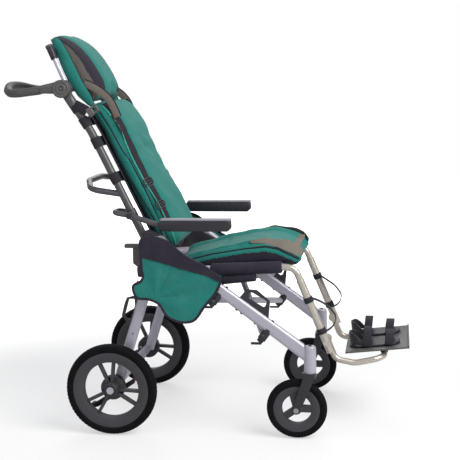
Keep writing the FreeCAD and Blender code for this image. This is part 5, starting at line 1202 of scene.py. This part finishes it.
@dataclass
class Seat:
    """Seat cushion, rail covers, side skirts and the strap over the cushion's front."""

    xs: Array = numbers(172, 250, 330, 415, 480, 540, 575, 596)
    tops: Array = numbers(525, 545, 568, 586, 593, 582, 568, 550)
    half: float = 169.0
    fan: tuple[float, float] = (150.0, 440.0)
    folds: tuple[tuple[float, float, float], ...] = (
        (63, 6, -3.4), (38, 6, -3.4), (50, 7, 2.6), (88, 9, 2.0), (75, 5, -1.6), (22, 9, 2.0),
        (8, 8, -2.0), (-20, 16, 2.0), (-52, 12, -1.8), (115, 12, -1.6), (160, 16, 1.6))
    skirt_y: float = 272.2
    skirt_top: tuple[tuple[float, float], ...] = (
        (111, 624), (154, 630), (190, 618), (214, 597), (262, 562), (318, 533), (354, 500))
    skirt_rest: tuple[tuple[float, float], ...] = (
        (342, 466), (305, 419), (262, 369), (228, 366), (190, 380), (155, 426), (126, 437), (93, 441), (82, 480),
        (106, 494), (113, 508), (110, 525), (108, 575))
    collar_foot: tuple[tuple[float, float], ...] = (
        (108, 569), (150, 560), (190, 548), (230, 536), (268, 525), (308, 516), (348, 496))

    def foot(self, x: Array) -> Array:
        """Height of the cushion's underside: the pan, then the nose beyond the front bar."""
        pan = rail_height(x) - 2.7
        return np.where(x > 545, np.interp(x, [545, 575, 596], [524, 522, 530]), pan)

    def cushion(self) -> bpy.types.Object:
        """The stuffed seat cushion with its raised side rolls and front channel."""
        x = runs((174, 196, 6), (206, 560, 28), (568, 595, 8))
        ends = rounded_ends(x, 22)
        low, high = self.foot(x) + 2, np.interp(x, self.xs, self.tops)
        middle = (low + high) / 2
        half = self.half - 9 * (1 - rounded_ends(x, 60))
        under, over = middle - (middle - low) * ends, middle + (high - middle) * ends
        across, height = pad_ring(60, half - 3, under, over, 0.36)
        upper = height > middle[:, None]
        roll = 9 * np.exp(-((np.abs(across) - 132) / 30) ** 2) - 5 * np.exp(-(across / 80) ** 2)
        rings = np.stack([np.broadcast_to(x[:, None], across.shape), across, height + roll * upper], -1)
        made = build("seat_cushion_cover", [(loft(rings), GREEN)])
        Stuffing(5.5, 4.0, 6.0).fill(made)
        made.data.materials.append(BLACK_CLOTH.material())
        points = coordinates(made.data)
        x_now, y_now, z_now = points.T
        top = np.interp(x_now, self.xs, self.tops)
        above = z_now > top - 12
        out = np.abs(y_now)
        crease(made, np.where(above, np.abs(out - 100), FAR), 5.0, 9.0)
        crease(made, np.where(above & (out < 96), np.abs(x_now - 330), FAR), 4.0, 9.0)
        side_line = self.edge_height(x_now)
        crease(made, np.where(out > 150, np.abs(z_now - side_line), FAR), 2.4, 3.5)
        crease(made, np.where(out > 140, np.abs(z_now - side_line - 16), FAR), 3.0, 4.0)
        wave = 0.9 * np.sin((x_now + 0.5 * y_now) / 14 + np.sin(y_now / 21)) + 0.8 * np.sin((x_now - y_now) / 27)
        fade = np.clip((z_now - side_line) / 12, 0, 1)
        set_coordinates(made.data, coordinates(made.data) + normals(made.data) * (wave * fade)[:, None])
        cloth_uv(made, y_now + np.sign(y_now) * (570 - z_now) * (out > 150), x_now)
        paint_faces(made, (z_now < side_line - 13).astype(int))
        settle(made, "seat", ["seat_cushion"])
        return made

    def edge_height(self, x: Array) -> Array:
        """Height of the piped line round the cushion's side."""
        stations = (172, 231, 310, 407, 481, 519, 554, 592)
        return np.interp(x, stations, (524, 539, 559, 576, 584, 577, 561, 542))

    def piping(self, cushion: bpy.types.Object) -> None:
        """Two cords along each side of the cushion, laid on its skin."""
        x = np.linspace(180, 585, 80)
        parts = []
        for _, side in SIDES:
            for lift, radius in ((0.0, 2.3), (17.0, 1.2)):
                across = np.full_like(x, side * (self.half - lift / 4))
                rough = np.stack([x, across, self.edge_height(x) + lift], 1)
                skin = laid_on(cushion, rough, side * Y_WAY + Z_WAY * lift / 12, 0.8)
                parts.append((sweep(skin, circle(radius, 8), side * Y_WAY), BLACK_PIPING))
        made = build("seat_piping", parts)
        settle(made, "seat")

    def strap(self, cushion: bpy.types.Object) -> None:
        """Bands along both rolls that widen towards the cushion's nose, and one across between them."""
        x = np.linspace(428, 592, 60)
        parts = []
        for side in (-1, 1):
            across = np.interp(x, [428, 500, 560, 592], [138.0, 140, 138, 132]) * side
            way = unit(Z_WAY + 0.75 * side * Y_WAY + 0.1 * X_WAY)
            line = laid_on(cushion, np.stack([x, across, self.edge_height(x) + 14], 1), way, 2.0, 60)
            width = np.interp(x, [428, 436, 500, 545, 592], [0.15, 0.4, 0.75, 1.2, 1.2])
            scale = np.stack([width, np.ones_like(width)], 1)
            parts.append((sweep(line, slab(38, 2.4, 0.9), way, scale), TAUPE))
        rough = np.stack([np.full(30, 566.0), np.linspace(-112, 112, 30), np.full(30, 600.0)], 1)
        band = laid_on(cushion, rough, Z_WAY + 0.15 * X_WAY, 1.6, 120)
        parts.append((sweep(band, slab(38, 2.2, 0.9), Z_WAY), TAUPE))
        made = build("centre_strap_cloth", parts)
        settle(made, "seat", ["centre_strap"])

    def rail_covers(self) -> None:
        """Padded sleeves round the rails and the long rolls strapped under them."""
        parts = []
        for _, side in SIDES:
            x = runs((312, 320, 4), (330, 524, 30), (530, 536, 3))
            ends = rounded_ends(x, 8)
            line = np.stack([x, np.full_like(x, side * (RAIL_Y + 0.5)), rail_height(x)], 1)
            pinch = 1 - 0.05 * np.exp(-((x - 420) / 8) ** 2)
            parts.append((sweep(line, circle(19.3, 28), Z_WAY, (0.72 + 0.28 * ends) * pinch), BLACK_CLOTH))
            x = runs((345, 350, 4), (356, 444, 16), (449, 454, 4))
            drop = np.interp(x, [345, 454], [35.0, 28.0])
            line = np.stack([x, np.full_like(x, side * RAIL_Y), rail_height(x) - drop], 1)
            parts.append((sweep(line, circle(14.2, 24), Z_WAY, 0.6 + 0.4 * rounded_ends(x, 7)), BLACK_CLOTH))
        made = build("rail_sleeves", parts)
        settle(made, "seat", ["rail_covers"])

    def hang(self, x: Array, z: Array) -> Array:
        """How far outwards the skirt's cloth stands: ridges and valleys fan out from its low rear corner.

        Each is depth x exp(-(angle / width) squared), and fades towards the corner.
        """
        turn = np.arctan2(z - self.fan[1], x - self.fan[0])
        reach = np.hypot(x - self.fan[0], z - self.fan[1])
        fold = np.zeros_like(reach)
        for angle, width, depth in self.folds:
            gap = np.degrees(np.angle(np.exp(1j * (turn - math.radians(angle)))))
            fold = fold + depth * np.exp(-(gap / width) ** 2)
        return fold * np.clip(reach / 60, 0, 1)

    def hung(self, flat: Array, side: int, lift: float) -> Array:
        """Points of the hanging skirt from places (x, z) on it, a lift outside its cloth."""
        x, z = flat[..., 0], flat[..., 1]
        return np.stack([x, side * (self.skirt_y + lift + self.hang(x, z)), z], -1)

    def skirt(self, name: str, side: int) -> None:
        """Hanging side panel: a fan from its middle to a bound edge, with a black collar along its top."""
        hub = np.array([158.0, 500.0])
        edge = spread(self.skirt_top + self.skirt_rest, 200, closed=True)
        share = np.linspace(0.0, 1.0, 44)[:, None, None]
        flat = hub + (edge[None] - hub) * np.maximum(share, 0.004)
        cloth = loft(self.hung(flat, side, 0.0), caps=False)
        made = build("skirt_cloth_" + name, [(cloth, GREEN)])
        tidy_normals(made.data, 0.0004)
        modifier(made, "SOLIDIFY", thickness=0.0012, offset=0.0)
        settle(made, "seat", ["side_skirt_" + name])
        line = self.hung(edge, side, 0.0)
        out = np.stack([edge[:, 0] - hub[0], np.zeros(len(edge)), edge[:, 1] - hub[1]], 1)
        low, high = spread(self.collar_foot, 60), spread(self.skirt_top, 60)
        mix = np.linspace(0, 1, 9)[:, None, None]
        collar = self.hung(low[None] * (1 - mix) + high[None] * mix, side, 1.7)
        seam = self.hung(low, side, 1.8)
        trim = build("skirt_collar_" + name, [
            (loft(collar, closed=False), BLACK_CLOTH),
            (sweep(seam, circle(1.9, 8), side * Y_WAY), BLACK_PIPING),
            (sweep(line, slab(3.6, 8.5, 1.6), out, loop=True), BLACK_CLOTH)])
        settle(trim, "seat")

    def make(self) -> None:
        """Builds the seat's soft pieces."""
        cushion = self.cushion()
        self.piping(cushion)
        self.strap(cushion)
        self.rail_covers()
        for name, side in SIDES:
            self.skirt(name, side)


@dataclass
class Armrests:
    """Moulded pads with rounded edges."""

    outline: Array = field(default_factory=lambda: np.array([
        (159, 651), (166, 644), (374, 643.6), (383.4, 652), (383.4, 673), (377, 680.6), (166, 680.6), (159, 675)]))
    insets: tuple[tuple[float, float], ...] = (
        (-18.6, 3.4), (-17.2, 1.0), (-13.0, 0.0), (0, -0.25), (13.0, 0.0), (17.2, 1.0), (18.6, 3.4))

    def pad(self, name: str, side: int) -> None:
        """Pad with a flat top and rounded edges: a profile drawn across its width."""
        rows = []
        way = self.outline - self.outline.mean(0)
        for y, inset in self.insets:
            x, z = (self.outline - np.sign(way) * inset * np.minimum(1, np.abs(way) / (6, 3))).T
            rows.append(np.stack([x, np.full_like(x, side * (ARM_Y + y)), z], 1))
        made = build("arm_cushion_" + name, [(loft(np.array(rows)), BLACK_PLASTIC)])
        bevelled(made, 1.6, 3, 25)
        settle(made, "armrest_" + name, ["arm_pad_" + name])

    def make(self) -> None:
        """Builds both pads."""
        for name, side in SIDES:
            self.pad(name, side)


@dataclass
class Wheels:
    """Tyres with a moulded tread."""

    def tyre(self, end: str, name: str, centre: Sequence[float], bead: float, width: float, rim_width: float,
             blocks: int) -> None:
        """Tyre turned from its section, with grooves pressed into the tread.

        The section is a rounded crown between two shoulders; a groove lowers the radius where the sine of
        the angle round, shifted by the place across, is high.
        """
        half = width / 2
        outer = centre[2]
        wall = bead + (outer - bead) * 0.35
        shoulder = outer - (outer - bead) * 0.26
        section = spread(np.array([(bead, -rim_width / 2), (wall, -half + 0.6), (shoulder, -half + 2.2),
                                   (outer - 2.2, -half * 0.5), (outer - 0.5, 0), (outer - 2.2, half * 0.5),
                                   (shoulder, half - 2.2), (wall, half - 0.6), (bead, rim_width / 2)]), 44)
        count = blocks * 6
        turn = np.arange(count) * 2 * np.pi / count
        radius, offset = section[:, 0], section[:, 1]
        tread = np.clip((radius - shoulder + 1) / 3, 0, 1)
        phase = turn[:, None] * blocks + np.abs(offset)[None] / half * 2.4
        groove = np.clip(np.sin(phase) * 3 - 1.4, 0, 1) * np.clip((np.abs(offset) - half * 0.22) / 2, 0, 1)
        ring = np.exp(-((np.abs(offset) - half * 0.22) / 1.1) ** 2)
        sink = tread * np.maximum(groove * 1.7, ring[None] * 1.5)
        r = radius[None] - sink
        across = np.broadcast_to(offset, r.shape)
        rings = np.asarray(centre, float) + np.stack(
            [r * np.cos(turn)[:, None], across, r * np.sin(turn)[:, None]], -1)
        made = build(f"{end}_tread_{name}", [(loft(rings, loop=True), TYRE)])
        settle(made, f"wheel_{end}_{name}", [f"{end}_tyre_{name}"])

    def make(self) -> None:
        """Builds four tyres."""
        for name, side in SIDES:
            self.tyre("rear", name, (0, side * 271, 146), 121, 43, 36, 72)
            self.tyre("front", name, (583, side * LEG_Y, 94.5), 72, 32, 26, 56)


@dataclass
class Footrest:
    """Sandals and straps on the foot plate."""

    y: float = 72.0
    heel_x: float = 780.0

    def floor(self, x: Any) -> Any:
        """Height of the foot plate's upper face."""
        return 241 + (np.asarray(x, float) - 727) * 21 / 200 + 6.4

    def make(self) -> None:
        """Builds both sandals: a rounded sole, a heel cup and two padded straps."""
        shells, bands = [], []
        for name, side in SIDES:
            y0 = side * self.y
            x = np.linspace(739, 897, 30)
            share = (x - 739) / 158
            width = 43 * np.sqrt(np.clip(1 - (np.abs(share - 0.5) * 2) ** 5, 0.12, 1))
            turn = (np.arange(40) + 0.5) * 2 * np.pi / 40
            across = y0 + width[:, None] * power(np.cos(turn), 0.45)
            height = self.floor(x)[:, None] + 4.4 + 4.2 * power(np.sin(turn), 0.5)
            sole = np.stack([np.broadcast_to(x[:, None], across.shape), across, height], -1)
            shells.append((loft(sole), BLACK_PLASTIC))
            turn = np.linspace(0.5 * np.pi, 1.5 * np.pi, 40)
            line = np.stack([self.heel_x + 40 * np.cos(turn), y0 + 41 * np.sin(turn),
                             np.full_like(turn, self.floor(self.heel_x) + 8)], 1)
            line = np.concatenate([line[:1] + (24, 0, 1.5), line, line[-1:] + (24, 0, 1.5)])
            grid = np.linspace(0, 1, 8)[:, None, None]
            tall = 36 * np.clip(1.15 - np.abs(np.linspace(-1, 1, len(line))) ** 3, 0.12, 1)[None, :, None]
            wall = line[None] + grid * tall * (Z_WAY - 0.12 * X_WAY)
            cup = build("heel_cup_" + name, [(loft(wall, closed=False), BLACK_PLASTIC)])
            modifier(cup, "SOLIDIFY", thickness=0.005, offset=-1.0)
            subdivided(cup)
            settle(cup, "footrest")
            for start, rise in ((779.0, 55.0), (849.0, 39.0)):
                turn = np.linspace(0, np.pi, 40)
                middle = start + 13
                line = np.stack([middle + 5 * np.sin(turn), y0 + 46 * np.cos(turn),
                                 self.floor(middle) + 3 + rise * np.sin(turn) ** 0.8], 1)
                up = np.stack([0 * turn, np.cos(turn), np.sin(turn) + 0.05], 1)
                bands.append((sweep(line, slab(26, 3.0, 1.3), up), WEBBING))
        soles = build("sandal_soles", shells)
        settle(soles, "footrest", ["foot_holders"])
        straps = build("sandal_straps", bands)
        settle(straps, "footrest")


@dataclass
class Legrest:
    """Calf straps that hang from the sleeves."""

    def make(self) -> None:
        """Each strap is a flat band along a hanging loop, with a collar round the sleeve at both ends."""
        parts = []
        way = np.array([math.cos(LEGREST_ANGLE), 0, -math.sin(LEGREST_ANGLE)])
        for _, side in SIDES:
            points = np.array([(630, side * 178, 426), (650, side * 168, 416), (684, side * 162, 390),
                               (699, side * 161, 364), (694, side * 162, 342), (676, side * 169, 325),
                               (662, side * 178, 321)])
            line = spread(points, 70)
            out = np.cross(unit(np.gradient(line, axis=0)), Y_WAY)
            parts.append((sweep(line, slab(20, 2.6, 1.1), out), WEBBING))
            for z in (424.0, 326.0):
                centre = np.array([LEGREST_X + (LEGREST_Z - z) / math.tan(LEGREST_ANGLE), side * RAIL_Y, z])
                turn = np.linspace(0, 2 * np.pi, 32, endpoint=False)
                side_way = np.cross(way, Y_WAY)
                ring = centre + 13.6 * (np.cos(turn)[:, None] * side_way + np.sin(turn)[:, None] * Y_WAY)
                parts.append((sweep(ring, slab(18, 2.4, 0.9), ring - centre, loop=True), WEBBING))
        made = build("calf_loops", parts)
        settle(made, "legrest", ["calf_straps"])


@dataclass
class Details:
    """Small fastenings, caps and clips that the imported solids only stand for."""

    def hubs(self) -> None:
        """Turned covers with a ring groove on the handle's hubs, and caps on the head support's sleeves."""
        rows = [(26.5, 0), (26.5, 1.1), (20, 1.7), (19.3, 0.4), (17.4, 0.4), (16.6, 2.0), (8.2, 2.6), (7.4, 1.0),
                (5.6, 1.0), (4.8, 2.6), (0.05, 2.8)]
        covers = [(lathe(rows, (-143.3, side * 216.0, 1085.2), side * Y_WAY), GREY_PLASTIC) for _, side in SIDES]
        settle(build("hub_covers", covers), "push_handle")
        way = np.array([math.cos(math.radians(113)), 0, math.sin(math.radians(113))])
        rows = [(11.6, -5), (11.6, 1.6), (9.5, 3.2), (0.05, 3.6)]
        caps = [(lathe(rows, (-185.7, side * 182.0, 1218.0), way, 32), GREY_PLASTIC) for _, side in SIDES]
        settle(build("sleeve_caps", caps), "headrest")

    def clips(self) -> None:
        """Side-release clip on each of the canes' upper straps: a body, two prongs, a slotted end and a tape."""
        parts = []
        ahead, up = BACK.ahead(520.0), BACK.upwards(520.0)
        taper = np.interp(np.arange(6), [0, 3, 5], [1, 1, 0.86])
        for _, side in SIDES:
            centre = BACK.at(500.0, 40.0, side * 203.0)
            body = centre + np.linspace(-14, 6, 6)[:, None] * ahead
            parts.append((sweep(body, slab(30, 7.5, 2.6), side * Y_WAY, taper), GREY_PLASTIC))
            for offset in (-9.5, 9.5):
                prong = centre + offset * up + np.linspace(5, 20, 6)[:, None] * ahead
                parts.append((sweep(prong, slab(7, 5.5, 2.0), side * Y_WAY), GREY_PLASTIC))
            tail = centre + np.linspace(17, 24, 4)[:, None] * ahead
            parts.append((sweep(tail, slab(27, 6.0, 2.0), side * Y_WAY), GREY_PLASTIC))
            tape = spread(np.stack([BACK.at(546.0, 8.0, side * 204.0), BACK.at(530.0, 18.0, side * 205.0),
                                    BACK.at(508.0, 30.0, side * 204.0)]), 14)
            parts.append((sweep(tape, slab(30, 2.4, 0.9), side * Y_WAY), WEBBING))
        settle(build("strap_clips", parts), "back")

    def screws(self) -> None:
        """Button heads along the legs and on the housings' caps, the knobs of the brace, and the hubs' rings."""
        fixed, rear, wheels = [], [], []
        normal = np.array([0.599, 0, 0.801])
        for _, side in SIDES:
            for x, way in ((360, 1), (411, -1), (426, -1), (468, -1), (500, 1)):
                foot = np.array([x, side * LEG_Y, LEG_TOP_Z + (x - LEG_TOP_X) * LEG_SLOPE]) + way * normal * 18.4
                fixed.append((bolt(foot, way * normal, 4.6, 3.6), BLACK_PLASTIC))
            for x, z in ((334, 434), (486, 327)):
                knob = lathe([(3.5, -6), (5, -2), (8.6, 1), (9.4, 5), (8.6, 9), (5, 11), (0.05, 11.6)],
                             (x - 6, side * 262.0, z - 4), side * Y_WAY, 28)
                fixed.append((knob, BLACK_PLASTIC))
                grip = np.array([(x - 6, side * 268.0, z - 4), (x - 9, side * 269.0, z - 12),
                                 (x - 13, side * 269.0, z - 20)])
                fixed.append((sweep(spread(grip, 12), slab(5, 6, 2), Y_WAY), BLACK_PLASTIC))
            fixed.append((bolt((625, side * LEG_Y, 293.8), Z_WAY, 6.0, 3.0), BLACK_PLASTIC))
            for z in (556.0, 505.0, 318.0, 236.0):
                x = LEG_TOP_X - 151 * (LEG_TOP_Z - z) / 462
                rear.append((bolt((x, side * 234.9, z), side * Y_WAY, 4.0, 2.2), STEEL))
            rows = [(20, 0), (20, 1.0), (17, 1.9), (12.6, 2.1), (12.2, 0.4)]
            wheels.append((lathe(rows, (0, side * 289.0, 146), side * Y_WAY), BLACK_PLASTIC))
        settle(build("leg_screws", fixed), "base")
        settle(build("rear_leg_screws", rear), "rear_frame")
        settle(build("hub_rings", wheels[:1]), "wheel_rear_left")
        settle(build("hub_rings_right", wheels[1:]), "wheel_rear_right")

    def pad_ends(self) -> None:
        """A button head in the front end of each arm pad, and a lighter grey skin on the pad's top that is a painted
        sheen.
        """
        x = runs((163, 171, 5), (180, 366, 12), (373, 383, 5))
        for name, side in SIDES:
            end = [(bolt((383.5, side * ARM_Y, 661), X_WAY, 4.0, 2.0), BLACK_PLASTIC)]
            settle(build("pad_screw_" + name, end), "armrest_" + name)
            # Lighter grey skin over the pad's top: painted sheen.
            line = np.stack([x, np.full_like(x, side * ARM_Y), np.full_like(x, 679.6)], 1)
            skin = sweep(line, slab(36.5, 5.0, 2.0), Z_WAY, 0.9 + 0.1 * rounded_ends(x, 6))
            settle(build("pad_top_sheen_" + name, [(skin, PAD_TOP_SHEEN)]), "armrest_" + name)

    def pedal(self) -> None:
        """Red cap on the front end of the brake pedal."""
        line = np.stack([np.linspace(57, 72.6, 6), np.full(6, -203.0), np.full(6, 162.4)], 1)
        cap = build("pedal_cap", [(sweep(line, slab(13.8, 16.0, 3.0), Z_WAY), RED_PLASTIC)])
        bevelled(cap, 1.0, 3)
        settle(cap, "brake_rocker")

    def make(self) -> None:
        """Builds every detail."""
        self.hubs()
        self.clips()
        self.screws()
        self.pad_ends()
        self.pedal()


@dataclass
class Frame:
    """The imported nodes: moulded and cut pieces refined, tubes as they are, each with its finish."""

    refined_nodes: tuple[str, ...] = (
        "handle_arms", "cane_hubs", "brace_clamps", "front_tie_downs", "rear_tie_downs", "seat_side_plates",
        "tilt_lever", "brake_pedal", "foot_plate", "head_frame", "arm_brackets", "caster_fork_left",
        "caster_fork_right", "brake_housings", "rear_rim_left", "rear_rim_right", "front_rim_left",
        "front_rim_right", "hinge_bolts")
    own_finish: dict[str, Finish] = field(default_factory=lambda: {
        "back_cane_left": GREY_PAINT, "back_cane_right": GREY_PAINT, "rear_bar": GREY_PAINT,
        "arm_tube_left": GREY_PAINT, "arm_tube_right": GREY_PAINT, "cane_hubs": GREY_PAINT,
        "seat_pan": BLACK_PLASTIC, "head_posts": POST, "handle_arms": GREY_PLASTIC,
        "rear_rim_left": RIM, "rear_rim_right": RIM, "front_rim_left": RIM, "front_rim_right": RIM})

    def make(self) -> None:
        """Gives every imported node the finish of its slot, or its own, and refines the listed ones."""
        grouped = frame["record"]["behaviour"]["bodies"]
        bodies = {node: body for body, nodes in grouped.items() for node in nodes}
        slots = frame_slots()
        for name, node in frame["nodes"].items():
            finish = self.own_finish.get(name, SLOT_FINISH[slots[name]])
            node.data.materials.clear()
            node.data.materials.append(finish.material())
            if name in self.refined_nodes:
                refined(name, bodies[name], finish)


def main() -> None:
    """Builds the studio and every sub-assembly."""
    logging.basicConfig(level=logging.INFO, format="%(message)s")
    Studio().build()
    for assembly in (Frame, Backrest, Headrest, Seat, Armrests, Wheels, Footrest, Legrest, Details):
        assembly().make()


if __name__ == "__main__":
    main()
